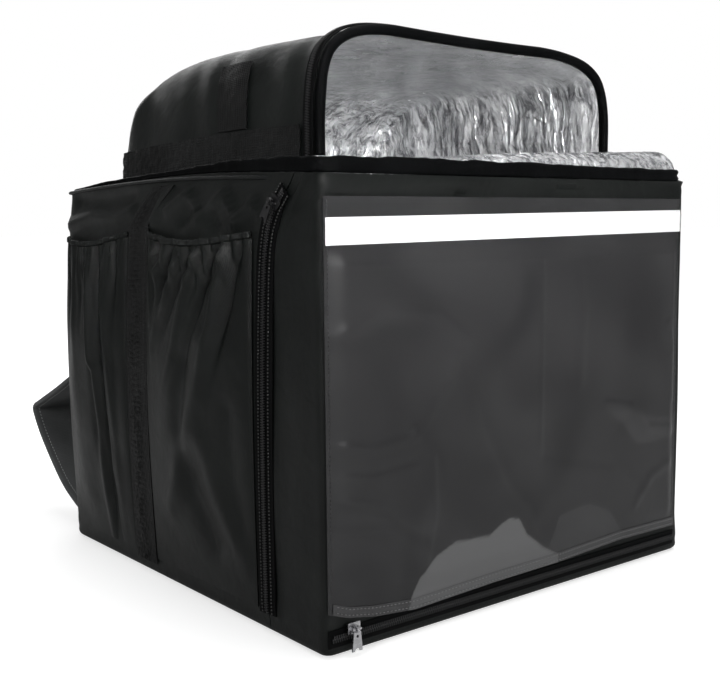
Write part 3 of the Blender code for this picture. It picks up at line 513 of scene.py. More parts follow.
def side_spot(side, setback, z, lift):
    """A point on a side wall, set back from the front, that follows the rear corner round."""
    turn = setback - (DEPTH - REAR_CORNER)
    x = WIDTH / 2 + lift
    y = setback - DEPTH / 2
    if turn > 0:
        angle = turn / REAR_CORNER
        x = WIDTH / 2 - REAR_CORNER + (REAR_CORNER + lift) * math.cos(angle)
        y = DEPTH / 2 - REAR_CORNER + (REAR_CORNER + lift) * math.sin(angle)
    return slack(side * x, y, z)


def webbing_setback(z):
    share = max(z - WEBBING_BEND, 0.0) / (WEBBING_TOP - WEBBING_BEND)
    return WEBBING_SETBACK - WEBBING_SLANT * share ** 1.2


def stitch_run(name, lines, material, slot, pitch=0.0034, length=0.0024, width=0.0007):
    """Rows of thread stitches: each line is a list of points with the outward direction at each."""
    deselect()
    bpy.ops.mesh.primitive_uv_sphere_add(segments=6, ring_count=4, radius=0.5)
    one = bpy.context.object
    shape = [vert.co.copy() for vert in one.data.vertices]
    faces = [tuple(face.vertices) for face in one.data.polygons]
    bpy.data.objects.remove(one, do_unlink=True)
    points = []
    polygons = []
    for line in lines:
        travelled = pitch / 2
        for (start, up), (end, _) in zip(line, line[1:]):
            run = (end - start).length
            if run < 1e-7:
                continue
            along = (end - start) / run
            across = up.cross(along).normalized()
            while travelled < run:
                centre = start + along * travelled
                base = len(points)
                for co in shape:
                    points.append(centre + along * co.x * length + across * co.y * width + up * co.z * width)
                polygons += [tuple(base + i for i in face) for face in faces]
                travelled += pitch
            travelled -= run
    mesh = bpy.data.meshes.new(name)
    mesh.from_pydata(points, [], polygons)
    piece = bpy.data.objects.new(name, mesh)
    bpy.context.scene.collection.objects.link(piece)
    for face in mesh.polygons:
        face.use_smooth = True
    fit_piece(piece, material, slot)
    return piece


def thread_material(name, colour):
    """Spun thread: darker between its strands, and dull."""
    material, tree, shader, source = start_material(name, "Object")
    twist = grain(tree, source, 1500.0, 2.0).outputs["Fac"]
    shade = [part * 0.6 for part in colour]
    tree.links.new(two_tones(tree, twist, shade, colour), shader.inputs["Base Color"])
    tree.links.new(relief(tree, twist, 0.0001, 0.6), shader.inputs["Normal"])
    shader.inputs["Roughness"].default_value = 0.55
    return material


def ruched(across, z, seed):
    """Webbing that its stitching has drawn up: short uneven cross folds and small lumps."""
    middle = math.exp(-((across - 0.56) / 0.26) ** 2)
    wander = 2.2 * noise.noise(Vector((across * 4.0, z * 22.0, seed)))
    folds = 0.5 + 0.5 * math.sin(z * 1250.0 + wander * 3.0)
    folds *= 0.5 + noise.noise(Vector((across * 6, z * 60, seed)))
    lumps = abs(noise.noise(Vector((across * 9.0, z * 190.0, seed))))
    return middle * (0.0019 * max(folds, 0.0) + 0.0022 * lumps) + 0.0004 * lumps


webbing = cloth_material("webbing_weave", (0.0022, 0.0023, 0.0023), (0.0085, 0.0088, 0.0088), 0.0016, 0.52,
                         weave_depth=0.0004, crease_depth=0.0008, crease_scale=160.0, rib=(0.0030, 0.0016))
black_thread = thread_material("black_thread", (0.022, 0.023, 0.023))
for side, side_name in ((-1, "left"), (1, "right")):
    rows = []
    for share in steps(330):
        z = mix(WEBBING_FOOT, WEBBING_TOP, share)
        row = []
        for across in steps(22):
            place = webbing_setback(z) + (across - 0.5) * WEBBING_WIDE
            row.append(side_spot(side, place, z, SEW_GAP + 0.0003 + ruched(across, z, side * 4.0)))
        rows.append(row if side > 0 else row[::-1])
    band = lay_cloth(f"webbing_side_{side_name}", rows)
    give_thickness(band, WEBBING_THICK * 0.6, outward=True)
    fit_piece(band, webbing, "webbing", f"side_webbing_{side_name}")
    seams = []
    for edge in (-1, 1):
        seam = []
        for share in steps(90):
            z = mix(WEBBING_FOOT + 0.003, WEBBING_TOP - 0.003, share)
            place = webbing_setback(z) + edge * (WEBBING_WIDE / 2 - 0.004)
            lift = ruched(0.5 + edge * 0.4, z, side * 4.0)
            spot = side_spot(side, place, z, SEW_GAP + WEBBING_THICK * 0.6 + 0.0004 + lift)
            seam.append((spot, Vector((side, 0.0, 0.0))))
        seams.append(seam)
    stitch_run(f"webbing_seam_{side_name}", seams, black_thread, "webbing")


# Side zips: coil zips on woven tape that let the front panel hinge down, one at each side.
# They run straight up the side wall and curve forward under the top seam.

TAPE_WIDE = 0.024
TAPE_THICK = 0.0011
TOOTH_WIDE = 0.0058
TOOTH_TALL = 0.0013
TOOTH_PITCH = 0.0022
TAPE_ROWS = 120
TAPE_SEAM = 0.0068
SIDE_ZIP_FOOT = 0.016
SIDE_ZIP_TOP = 0.362


def fix_normals(piece):
    """Turn every face of a closed piece outwards."""
    shell = bmesh.new()
    shell.from_mesh(piece.data)
    bmesh.ops.recalc_face_normals(shell, faces=shell.faces)
    shell.to_mesh(piece.data)
    shell.free()


def tooth_run(name, line, material, slot):
    """The coil of a zip: one rounded tooth copied along a line of points and outward directions."""
    deselect()
    bpy.ops.mesh.primitive_cube_add(size=1.0)
    one = bpy.context.object
    bpy.ops.object.mode_set(mode="EDIT")
    bpy.ops.mesh.bevel(offset=0.22, segments=1)
    bpy.ops.object.mode_set(mode="OBJECT")
    shape = [vert.co.copy() for vert in one.data.vertices]
    faces = [tuple(face.vertices) for face in one.data.polygons]
    bpy.data.objects.remove(one, do_unlink=True)
    points = []
    polygons = []
    travelled = TOOTH_PITCH
    for (start, up), (end, _) in zip(line, line[1:]):
        run = (end - start).length
        along = (end - start).normalized()
        across = up.cross(along).normalized()
        while travelled < run:
            for half in (-1, 1):
                centre = start + along * (travelled + half * TOOTH_PITCH / 4)
                centre += across * half * TOOTH_WIDE * 0.2
                lean = (across + along * 0.18 * half).normalized()
                base = len(points)
                for co in shape:
                    points.append(centre + lean * co.x * TOOTH_WIDE * 0.62 + along * co.y * TOOTH_PITCH * 0.46
                                  + up * co.z * TOOTH_TALL)
                polygons += [tuple(base + i for i in face) for face in faces]
            travelled += TOOTH_PITCH
        travelled -= run
    mesh = bpy.data.meshes.new(name)
    mesh.from_pydata(points, [], polygons)
    mesh.update()
    piece = bpy.data.objects.new(name, mesh)
    bpy.context.scene.collection.objects.link(piece)
    fit_piece(piece, material, slot)
    fix_normals(piece)
    return piece


def plastic_material(name, colour, roughness):
    """Moulded plastic: slightly uneven in tone and gloss."""
    material, tree, shader, source = start_material(name, "Object")
    grime = grain(tree, source, 300.0, 3.0).outputs["Fac"]
    dark = [part * 0.7 for part in colour]
    light = [part * 1.5 for part in colour]
    tree.links.new(two_tones(tree, grime, dark, light), shader.inputs["Base Color"])
    vary_gloss(tree, shader, grime, roughness - 0.05, roughness + 0.1)
    tree.links.new(relief(tree, grime, 0.0001, 0.3), shader.inputs["Normal"])
    return material


zip_tape = cloth_material("zip_tape", (0.0010, 0.0011, 0.0012), (0.0026, 0.0027, 0.0029), 0.0006, 0.6,
                          weave_depth=0.00015, crease_depth=0.0003, rib=(0.0006, 0.0012), specular=0.05)
zip_coil = plastic_material("zip_coil", (0.0050, 0.0050, 0.0054), 0.40)
tape_thread = thread_material("tape_thread", (0.030, 0.031, 0.030))
for side, side_name in ((-1, "left"), (1, "right")):
    centre = []
    for share in steps(TAPE_ROWS):
        z = mix(SIDE_ZIP_FOOT, SIDE_ZIP_TOP, 1 - (1 - share) ** 1.4)
        centre.append(Vector((zip_setback(z), z)))
    rows = []
    chain = []
    directions = []
    for i in range(TAPE_ROWS + 1):
        directions.append((centre[min(i + 2, TAPE_ROWS)] - centre[max(i - 2, 0)]).normalized())
    for spot, along in zip(centre, directions):
        row = []
        for across in steps(8):
            shift = (across - 0.5) * TAPE_WIDE * (1.0 - 0.40 * ease(0.335, 0.362, spot.y))
            lift = SEW_GAP + 0.0003 * abs(noise.noise(Vector((across * 2, spot.y * 60, 0.0))))
            row.append(side_spot(side, spot.x + along.y * shift, spot.y - along.x * shift, lift))
        rows.append(row if side > 0 else row[::-1])
        lifted = side_spot(side, spot.x, spot.y, SEW_GAP + TAPE_THICK + TOOTH_TALL / 2 + 0.0002)
        chain.append((lifted, Vector((side, 0.0, 0.0))))
    tape = lay_cloth(f"zip_tape_side_{side_name}", rows)
    give_thickness(tape, TAPE_THICK, outward=True)
    fit_piece(tape, zip_tape, "zip_tape", f"side_zip_{side_name}")
    tooth_run(f"zip_coil_side_{side_name}", chain, zip_coil, "zip_tape")
    seams = []
    for edge in (-1, 1):
        seam = []
        for spot, along in zip(centre, directions):
            shift = edge * TAPE_SEAM
            place = side_spot(side, spot.x + along.y * shift, spot.y - along.x * shift,
                              SEW_GAP + TAPE_THICK + 0.0004)
            seam.append((place, Vector((side, 0.0, 0.0))))
        seams.append(seam)
    stitch_run(f"zip_seam_side_{side_name}", seams, tape_thread, "zip_tape", pitch=0.0030, length=0.0019,
               width=0.0014)


# Side zip sliders and pulls: die-cast metal painted black, clipped on the zip's coil.
# Each pull hangs in the slider's bridge and swings there.

def metal_material(name, colour, roughness, metallic, wear):
    """Cast metal: fine pitting, duller patches and lighter scratches."""
    material, tree, shader, source = start_material(name, "Object")
    patches = grain(tree, source, 220.0, 4.0).outputs["Fac"]
    scratches = grain(tree, source, 900.0, 2.0, 1.5).outputs["Fac"]
    tree.links.new(two_tones(tree, patches, colour, wear, 0.4, 0.75), shader.inputs["Base Color"])
    vary_gloss(tree, shader, patches, roughness - 0.08, roughness + 0.15)
    tree.links.new(relief(tree, scratches, 0.00008, 0.5), shader.inputs["Normal"])
    shader.inputs["Metallic"].default_value = metallic
    return material


black_metal = metal_material("black_painted_metal", (0.010, 0.010, 0.011), 0.35, 0.5, (0.03, 0.03, 0.03))
for side_name in ("left", "right"):
    dress(f"side_zip_slider_{side_name}", black_metal)
    dress(f"side_zip_pull_{side_name}", black_metal)


# Side pockets: two patch pockets of thin nylon on each side, sewn down at three edges.
# Elastic gathers their mouths, so that soft pleats fan down from the hem and die out at the foot.

POCKET_FOOT = 0.018
POCKET_TOP = 0.324
POCKET_DIP = 0.008
POCKET_CLOTH = 0.0010
POCKETS = (("front", 0.0925, 0.2665), ("rear", 0.3095, 0.446))
POCKET_SEEDS = {"front": 1.7, "rear": 4.4}
# Folds of a pocket: places across it at the hem and at the lower end, how far down that end lies,
# width, and height, which is below zero in a valley
FRONT_FOLDS = (
    (0.05, 0.22, 0.30, 0.030, -0.0095), (0.13, 0.32, 0.34, 0.027, 0.0068),
    (0.22, 0.50, 0.30, 0.032, -0.0110), (0.34, 0.64, 0.32, 0.028, 0.0072),
    (0.43, 0.70, 0.24, 0.022, -0.0062), (0.52, 0.76, 0.22, 0.026, 0.0040),
    (0.60, 0.80, 0.20, 0.022, -0.0058), (0.70, 0.84, 0.28, 0.030, 0.0056),
    (0.79, 0.80, 0.14, 0.026, -0.0070), (0.87, 0.88, 0.34, 0.026, 0.0044), (0.95, 0.94, 0.22, 0.018, -0.0042),
)
# Broader folds lower down: height and width, then points of setback from the front and height
FRONT_DRAPE = (
    (0.0045, 0.014, ((0.150, 0.235), (0.162, 0.190), (0.205, 0.110), (0.222, 0.080))),
    (0.0035, 0.013, ((0.158, 0.150), (0.140, 0.105), (0.104, 0.055))),
    (-0.0040, 0.013, ((0.185, 0.215), (0.196, 0.160), (0.180, 0.100), (0.150, 0.060))),
    (-0.0030, 0.012, ((0.120, 0.180), (0.118, 0.120), (0.108, 0.085))),
    (0.0040, 0.006, ((0.236, 0.306), (0.226, 0.293), (0.212, 0.300), (0.206, 0.312))),
)
REAR_FOLDS = (
    (0.33, 0.26, 0.93, 0.030, -0.0125), (0.345, 0.275, 0.93, 0.012, -0.0050),
    (0.42, 0.36, 0.86, 0.034, 0.0072), (0.24, 0.16, 0.70, 0.033, 0.0036),
    (0.10, 0.12, 0.24, 0.030, -0.0050), (0.17, 0.18, 0.22, 0.022, 0.0030), (0.60, 0.58, 0.22, 0.022, -0.0040),
    (0.72, 0.70, 0.34, 0.034, 0.0030), (0.84, 0.82, 0.30, 0.030, -0.0034),
)
REAR_DRAPE = (
    (0.0025, 0.020, ((0.405, 0.230), (0.410, 0.120), (0.398, 0.060))),
    (-0.0050, 0.008, ((0.362, 0.190), (0.361, 0.130), (0.350, 0.070))),
    (-0.0020, 0.016, ((0.325, 0.200), (0.330, 0.120))),
)


def pocket_hem(across):
    return POCKET_TOP - POCKET_DIP * math.sin(math.pi * across)


def pocket_lift(label, start, end, across, up):
    """How far a pocket stands off the wall: flat at its seams, slack and gathered at its mouth."""
    plan = max(math.sin(math.pi * across), 0.0)
    swell = plan ** 0.55 * math.sin(math.pi / 2 * min(up / 0.81, 1.235)) ** 0.9
    body = 0.0125 * swell
    setback = mix(start, end, across)
    height = mix(POCKET_FOOT, pocket_hem(across), up)
    loose = min(plan * 2.2, 1.0)
    folds = 0.0
    for hem, foot, length, width, tall in (FRONT_FOLDS if label == "front" else REAR_FOLDS):
        down = (1.0 - up) / length
        place = mix(hem, foot, min(down, 1.4))
        strength = math.exp(-(max(down - 0.12, 0.0) / 0.80) ** 2.4) * (0.45 + 0.55 * ease(0.0, 0.12, down))
        narrow = width * (0.7 + 0.5 * min(down, 1.0))
        folds += tall * strength * math.exp(-((across - place) / narrow) ** 2)
    drape = crease_height(setback, height, FRONT_DRAPE if label == "front" else REAR_DRAPE)
    seed = POCKET_SEEDS[label]
    pitch = across * 88.0 + 5.0 * noise.noise(Vector((across * 7.0, seed, up * 1.5)))
    gathers = 0.0023 * ease(0.84, 0.975, up) * math.sin(pitch)
    small = 0.0011 * noise.noise(Vector((setback / 0.03, height / 0.055, seed)))
    return SEW_GAP + max(body + loose * (folds + drape + gathers + small * ease(0.02, 0.2, up)), 0.0)


for side, side_name in ((-1, "left"), (1, "right")):
    for label, start, end in POCKETS:
        rows = []
        for up in steps(130):
            row = []
            for across in steps(120):
                z = mix(POCKET_FOOT, pocket_hem(across), up)
                lift = pocket_lift(label, start, end, across, up)
                row.append(side_spot(side, mix(start, end, across), z, lift))
            rows.append(row if side > 0 else row[::-1])
        pocket = lay_cloth(f"pocket_cloth_{label}_{side_name}", rows)
        give_thickness(pocket, POCKET_CLOTH, outward=True)
        fit_piece(pocket, nylon, "nylon", f"pocket_{label}_{side_name}")


# Pocket hems: a channel of black elastic round the mouth of each pocket.
# It is sewn on stretched, so that it ruffles into short ribs when it draws back.

HEM_TALL = 0.0055
HEM_THICK = 0.0030


def close_shell(piece):
    """Join the seams of a tube or ring laid as a cloth, cap what stays open, and face it outwards."""
    pick(piece)
    bpy.ops.object.mode_set(mode="EDIT")
    bpy.ops.mesh.select_all(action="SELECT")
    bpy.ops.mesh.remove_doubles(threshold=0.00001)
    bpy.ops.mesh.select_all(action="DESELECT")
    bpy.ops.mesh.select_non_manifold()
    bpy.ops.mesh.fill_holes(sides=0)
    bpy.ops.mesh.select_all(action="SELECT")
    bpy.ops.mesh.normals_make_consistent(inside=False)
    bpy.ops.object.mode_set(mode="OBJECT")


elastic = cloth_material("hem_elastic", (0.0040, 0.0048, 0.0045), (0.0085, 0.0098, 0.0094), 0.0008, 0.42,
                         weave_depth=0.0002, crease_depth=0.0004, crease_scale=90.0)
for side, side_name in ((-1, "left"), (1, "right")):
    for label, start, end in POCKETS:
        seed = POCKET_SEEDS[label]
        rows = []
        for turn_share in steps(12):
            angle = turn_share * 2 * math.pi
            row = []
            for across in steps(200):
                ruffle = noise.noise(Vector((across * 26.0, seed, 0.0)))
                plump = 0.92 + 0.2 * ruffle - 0.22 * math.exp(-((math.sin(angle) + 1.0) / 0.16) ** 2)
                inner = pocket_lift(label, start, end, across, 1.0)
                z = pocket_hem(across) + 0.0004 + HEM_TALL / 2 * (1 - math.cos(angle) * plump)
                lift = inner + HEM_THICK / 2 * (1.05 - math.sin(angle) * plump)
                row.append(side_spot(side, mix(start, end, across), z, lift))
            rows.append(row if side > 0 else row[::-1])
        hem = lay_cloth(f"hem_cloth_{label}_{side_name}", rows)
        close_shell(hem)
        fit_piece(hem, elastic, "binding", f"pocket_hem_{label}_{side_name}")


# Front window: a sheet of clear vinyl sewn on the front panel, with a turned-up hem at its foot.
# It is stiff and glossy, so it shows long soft dents, puckers at the left and a lifted fold low down.

WINDOW_LEFT = -0.225
WINDOW_RIGHT = 0.215
WINDOW_TOP = 0.358
VINYL = 0.0005
# Lower edge of the vinyl: height above the ground at places along x
WINDOW_EDGE = ((-0.225, 0.036), (-0.205, 0.029), (-0.178, 0.024), (-0.136, 0.020), (-0.044, 0.023),
               (0.042, 0.024), (0.129, 0.028), (0.215, 0.027))
# Creases of the vinyl: height and width, then points of x and height above the ground
VINYL_CREASES = (
    (0.0011, 0.0040, ((-0.222, 0.168), (-0.180, 0.160), (-0.137, 0.164))),
    (-0.0009, 0.0040, ((-0.222, 0.150), (-0.180, 0.143), (-0.135, 0.146))),
    (0.0010, 0.0050, ((-0.220, 0.125), (-0.170, 0.112), (-0.130, 0.080))),
    (-0.0009, 0.0045, ((-0.215, 0.100), (-0.165, 0.092), (-0.128, 0.070))),
    (0.0012, 0.0045, ((-0.137, 0.170), (-0.118, 0.145), (-0.116, 0.100), (-0.128, 0.050))),
    (0.0010, 0.0050, ((-0.124, 0.178), (-0.098, 0.205), (-0.090, 0.228))),
    (-0.0010, 0.0060, ((-0.075, 0.225), (-0.055, 0.160), (-0.022, 0.105), (0.005, 0.080))),
    (0.0008, 0.0070, ((0.055, 0.325), (0.070, 0.260), (0.066, 0.190))),
    (0.0010, 0.0050, ((0.105, 0.165), (0.140, 0.158), (0.165, 0.135), (0.212, 0.128))),
    (-0.0008, 0.0060, ((0.020, 0.130), (0.060, 0.118), (0.120, 0.105), (0.160, 0.075))),
    (0.0009, 0.0050, ((0.150, 0.060), (0.175, 0.085), (0.205, 0.095))),
    (0.0008, 0.0060, ((-0.220, 0.250), (-0.170, 0.268), (-0.110, 0.262), (-0.080, 0.240))),
    (0.0010, 0.0040, ((0.196, 0.235), (0.206, 0.215), (0.208, 0.160))),
)


def window_lift(x, z):
    """How far the vinyl stands off the cloth."""
    edge = ease(WINDOW_LEFT, WINDOW_LEFT + 0.02, x) * ease(WINDOW_RIGHT, WINDOW_RIGHT - 0.014, x)
    edge *= ease(0.030, 0.050, z) * ease(0.322, 0.305, z)
    long_dents = 0.0016 * noise.noise(Vector((x / 0.10, 4.0, z / 0.17)))
    fold = 0.0006 * math.exp(-((x - 0.013) / 0.0025) ** 2) * ease(0.13, 0.15, z)
    loose = long_dents + fold + crease_height(x, z, VINYL_CREASES)
    return 0.0006 + edge * (0.0028 + loose)


# Painted reflections, paler patches in the vinyl's colour: strength, then the top of each patch along x
PAINTED_REFLECTIONS = (
    (1.0, ((-0.142, 0.026), (-0.132, 0.048), (-0.114, 0.062), (-0.092, 0.070), (-0.052, 0.068),
           (-0.036, 0.076), (-0.026, 0.079), (-0.014, 0.076), (-0.004, 0.060), (0.018, 0.044),
           (0.040, 0.033))),
    (0.16, ((0.020, 0.030), (0.040, 0.070), (0.080, 0.074), (0.110, 0.062), (0.130, 0.040))),
)
# A fainter painted reflection at the right, between a top and a foot line along x
RIGHT_REFLECTION_TOP = ((0.10, 0.160), (0.14, 0.158), (0.165, 0.148), (0.215, 0.142))
RIGHT_REFLECTION_FOOT = ((0.10, 0.158), (0.13, 0.140), (0.15, 0.118), (0.215, 0.118))


def paleness_and_painted_reflection(x, z):
    """How strongly a reflection is painted into the vinyl's colour at a place, from 0 to 1."""
    amount = 0.0
    for strength, top in PAINTED_REFLECTIONS:
        if top[0][0] < x < top[-1][0]:
            amount = max(amount, strength * ease(-0.0006, 0.0022, look_up(top, x) - z))
    right = ease(0.0, 0.004, look_up(RIGHT_REFLECTION_TOP, x) - z)
    right *= ease(0.0, 0.004, z - look_up(RIGHT_REFLECTION_FOOT, x))
    return max(amount, 0.14 * right * ease(0.10, 0.112, x))


def vinyl_material(name):
    """Clear vinyl: glossy, slightly milky and scuffed, and paler where its attribute is high: painted
    reflections, and the hem's own paleness.
    """
    material, tree, shader, source = start_material(name, "UV")
    haze = grain(tree, source, 11.0, 3.0, 0.8).outputs["Fac"]
    scuffs = grain(tree, source, 40.0, 6.0, 0.6).outputs["Fac"]
    vary_gloss(tree, shader, haze, 0.16, 0.30)
    tree.links.new(relief(tree, scuffs, 0.0005, 0.5), shader.inputs["Normal"])
    milky = two_tones(tree, haze, (0.025, 0.025, 0.026), (0.037, 0.037, 0.038), 0.35, 0.65)
    # Painted reflection: the attribute mixes a paler grey into the colour; on the hem it also holds the hem's
    # own paleness
    paleness_and_reflection = add_node(tree, "ShaderNodeAttribute", attribute_name="paleness_and_painted_reflection")
    pale = add_node(tree, "ShaderNodeMix", {7: (0.120, 0.120, 0.122, 1.0)},
                    {0: paleness_and_reflection.outputs["Fac"], 6: milky}, data_type="RGBA")
    tree.links.new(pale.outputs[2], shader.inputs["Base Color"])
    shader.inputs["Alpha"].default_value = 0.85
    shader.inputs["IOR"].default_value = 1.45
    shader.inputs["Specular IOR Level"].default_value = 0.22
    return material


def note(piece, name, amount):
    """Note a value at each point of a piece, for its material to read."""
    layer = piece.data.attributes.new(name, "FLOAT", "POINT")
    for vert in piece.data.vertices:
        layer.data[vert.index].value = amount(vert.co)


vinyl = vinyl_material("clear_vinyl")
rows = []
for up in steps(150):
    row = []
    for across in steps(220):
        x = mix(WINDOW_LEFT, WINDOW_RIGHT, across)
        z = mix(look_up(WINDOW_EDGE, x), WINDOW_TOP, up)
        row.append(slack(x, -DEPTH / 2 - window_lift(x, z), z))
    rows.append(row)
window = lay_cloth("window_vinyl", rows)
give_thickness(window, VINYL, outward=True)
# Painted reflections on the sheet: its colour is paler where this value is high
note(window, "paleness_and_painted_reflection", lambda co: paleness_and_painted_reflection(co.x, co.z))
fit_piece(window, vinyl, "clear_vinyl", "window_sheet")

HEM_BAND = 0.009
rows = []
for up in steps(6):
    row = []
    for across in steps(160):
        x = mix(WINDOW_LEFT + 0.004, WINDOW_RIGHT, across)
        z = look_up(WINDOW_EDGE, x) + 0.0005 + HEM_BAND * up
        pucker = 0.0003 * (1 + noise.noise(Vector((across * 60.0, up, 0.0)))) * math.sin(math.pi * up)
        row.append(slack(x, -DEPTH / 2 - window_lift(x, z) - VINYL - 0.0003 - pucker, z))
    rows.append(row)
window_hem = lay_cloth("window_hem_vinyl", rows)
give_thickness(window_hem, VINYL, outward=True)
# The hem is paler all along, plus half the painted reflection
note(window_hem, "paleness_and_painted_reflection", lambda co: 0.30 + 0.5 * paleness_and_painted_reflection(co.x, co.z))
fit_piece(window_hem, vinyl, "clear_vinyl", "window_hem")

grey_thread = thread_material("grey_thread", (0.16, 0.16, 0.16))
OUT_FRONT = Vector((0.0, -1.0, 0.0))


def front_seam(low, high, offset, clear):
    """A line of stitches along the window, offset above its lower edge."""
    seam = []
    for share in steps(140):
        x = mix(low, high, share)
        z = look_up(WINDOW_EDGE, x) + offset
        y = -DEPTH / 2 - window_lift(x, z) - VINYL - clear
        seam.append((slack(x, y, z), OUT_FRONT))
    return seam


def upright_seam(x, low, high):
    """A line of stitches up the window at one of its side edges."""
    seam = []
    for share in steps(60):
        z = mix(low, high, share)
        seam.append((slack(x, -DEPTH / 2 - window_lift(x, z) - VINYL - 0.0002, z), OUT_FRONT))
    return seam


stitch_run("window_hem_seam", [
    front_seam(WINDOW_LEFT + 0.006, WINDOW_RIGHT - 0.002, 0.0028, 0.0011 + VINYL),
    front_seam(WINDOW_LEFT + 0.006, WINDOW_RIGHT - 0.002, 0.0078, 0.0011 + VINYL),
], grey_thread, "binding", pitch=0.0040, length=0.0026, width=0.0007)
stitch_run("window_edge_seam", [
    upright_seam(WINDOW_LEFT + 0.003, 0.050, WINDOW_TOP - 0.003),
    upright_seam(WINDOW_RIGHT - 0.003, 0.032, WINDOW_TOP - 0.003),
], black_thread, "binding")


# Reflective stripe: a 21 mm strip of white retro-reflective tape under the front's top seam.
# It is stitched along both edges, over the clear window.

STRIPE_LOW = 0.321
STRIPE_TALL = 0.021
STRIPE_RISE = 0.005


def stripe_material(name):
    """Retro-reflective tape: white, with a fine raised pattern of cells and a little grime."""
    material, tree, shader, source = start_material(name, "UV")
    cells = add_node(tree, "ShaderNodeTexVoronoi", {"Scale": 700.0, "Randomness": 0.0}, {"Vector": source})
    grime = grain(tree, source, 35.0, 5.0).outputs["Fac"]
    tone = two_tones(tree, grime, (0.66, 0.67, 0.68), (0.78, 0.78, 0.79), 0.25, 0.5)
    tree.links.new(tone, shader.inputs["Base Color"])
    tree.links.new(relief(tree, cells.outputs["Distance"], 0.0002, 0.4), shader.inputs["Normal"])
    vary_gloss(tree, shader, grime, 0.35, 0.5)
    return material


def stripe_base(x):
    return STRIPE_LOW + STRIPE_RISE * (x - WINDOW_LEFT) / (WINDOW_RIGHT - WINDOW_LEFT)


white_tape = stripe_material("reflective_tape")
rows = []
for up in steps(8):
    row = []
    for across in steps(150):
        x = mix(WINDOW_LEFT + 0.001, WINDOW_RIGHT, across)
        z = stripe_base(x) + STRIPE_TALL * up
        ripple = 0.0003 * (1 + noise.noise(Vector((x * 40, up * 2, 0.0))))
        row.append(slack(x, -DEPTH / 2 - 0.0016 - ripple, z))
    rows.append(row)
stripe = lay_cloth("stripe_tape", rows)
give_thickness(stripe, 0.0005, outward=True)
fit_piece(stripe, white_tape, "reflective", "reflective_stripe")
white_thread = thread_material("white_thread", (0.70, 0.70, 0.70))
stripe_seams = []
for offset in (0.0015, STRIPE_TALL - 0.0015):
    seam = []
    for share in steps(140):
        x = mix(WINDOW_LEFT + 0.003, WINDOW_RIGHT - 0.002, share)
        seam.append((slack(x, -DEPTH / 2 - 0.0026, stripe_base(x) + offset), OUT_FRONT))
    stripe_seams.append(seam)
stitch_run("stripe_seam", stripe_seams, white_thread, "reflective", width=0.0006)


# Window zip: a narrow coil zip under the window, closed, with its slider at the left end.
# Slider and pull are plated steel; the pull hangs from the slider's bridge and swings.

WINDOW_ZIP_HEIGHT = 0.0155
WINDOW_TAPE = 0.014
rows = []
for up in steps(6):
    row = []
    for across in steps(150):
        x = mix(WINDOW_LEFT, WINDOW_RIGHT, across)
        z = WINDOW_ZIP_HEIGHT + (up - 0.5) * WINDOW_TAPE
        row.append(slack(x, -DEPTH / 2 - SEW_GAP, z))
    rows.append(row)
window_tape = lay_cloth("window_zip_tape", rows)
give_thickness(window_tape, TAPE_THICK, outward=True)
fit_piece(window_tape, zip_tape, "zip_tape", "window_zip")
chain = []
for share in steps(100):
    x = mix(WINDOW_LEFT + 0.002, WINDOW_RIGHT - 0.002, share)
    y = -DEPTH / 2 - SEW_GAP - TAPE_THICK - TOOTH_TALL / 2 - 0.0001
    chain.append((slack(x, y, WINDOW_ZIP_HEIGHT), OUT_FRONT))
tooth_run("zip_coil_window", chain, zip_coil, "zip_tape")
steel = metal_material("plated_steel", (0.62, 0.62, 0.64), 0.22, 1.0, (0.45, 0.45, 0.46))
dress("window_zip_slider", steel)
dress("window_zip_pull", steel)


# Top piping: a thin cord covered in black binding, sewn in the top seam of the side and rear walls.
# It ends at the two side zips, where the front panel can hinge down.

PIPING_HEIGHT = 0.371
piping = cloth_material("piping_cloth", (0.0034, 0.0040, 0.0040), (0.0085, 0.0095, 0.0095), 0.0008, 0.4,
                        crease_depth=0.0004, crease_scale=160.0)
run = [(DEPTH - REAR_CORNER) * (0.14 + 0.86 * share) for share in steps(90)]
run += [DEPTH - REAR_CORNER + REAR_CORNER * math.pi / 2 * share for share in steps(8)[1:]]
rows = []
for turn_share in steps(8):
    angle = turn_share * 2 * math.pi
    lift = 0.0013 + 0.0016 * math.cos(angle)
    z = PIPING_HEIGHT + 0.0016 * math.sin(angle)
    half_line = [side_spot(1, setback, z, lift - 0.004 * ease(0.085, 0.062, setback)) for setback in run]
    half_back = WIDTH / 2 - REAR_CORNER
    half_line += [slack(half_back * (1 - share), DEPTH / 2 + lift, z) for share in steps(40)[1:]]
    rows.append(half_line + [Vector((-spot.x, spot.y, spot.z)) for spot in reversed(half_line[:-1])])
cord = lay_cloth("piping_cord", rows)
close_shell(cord)
fit_piece(cord, piping, "binding", "top_piping")


# Lid pad: a foam pad in crinkled silver foil that closes the box, quilted in squares.
# Its edge is bound in black cloth tape, and the load lifts its right side.

PAD_LOW = HEIGHT + 0.0003
PAD_MARGIN = 0.0033
PAD_CORNER = 0.020
PAD_SINKS = 0.0155
QUILT_PITCH = 0.075


def pad_edge(x):
    """Height of the bound edge of the lid, thinner at its right."""
    return mix(0.015, 0.0105, x / WIDTH + 0.5)


def pad_rise(x):
    """How far the load lifts the middle of the lid above its edge."""
    return mix(0.0005, 0.019, x / WIDTH + 0.5)


def pad_top(x):
    return PAD_LOW + pad_edge(x) + pad_rise(x)


def lid_slack(x, y, z):
    """The lid sinks at its left rear corner, and the hood's foot sinks with it."""
    spot = slack(x, y, z)
    over = z - PAD_LOW
    drop = 0.0105 * ease(-0.08, -0.20, x) * mix(0.20, 1.0, ease(-0.20, 0.04, y))
    if over > PAD_SINKS:
        spot.z -= drop * (1.0 - ease(PAD_SINKS, 0.050, over))
    elif over > 0:
        spot.z -= drop * over / PAD_SINKS
    return spot


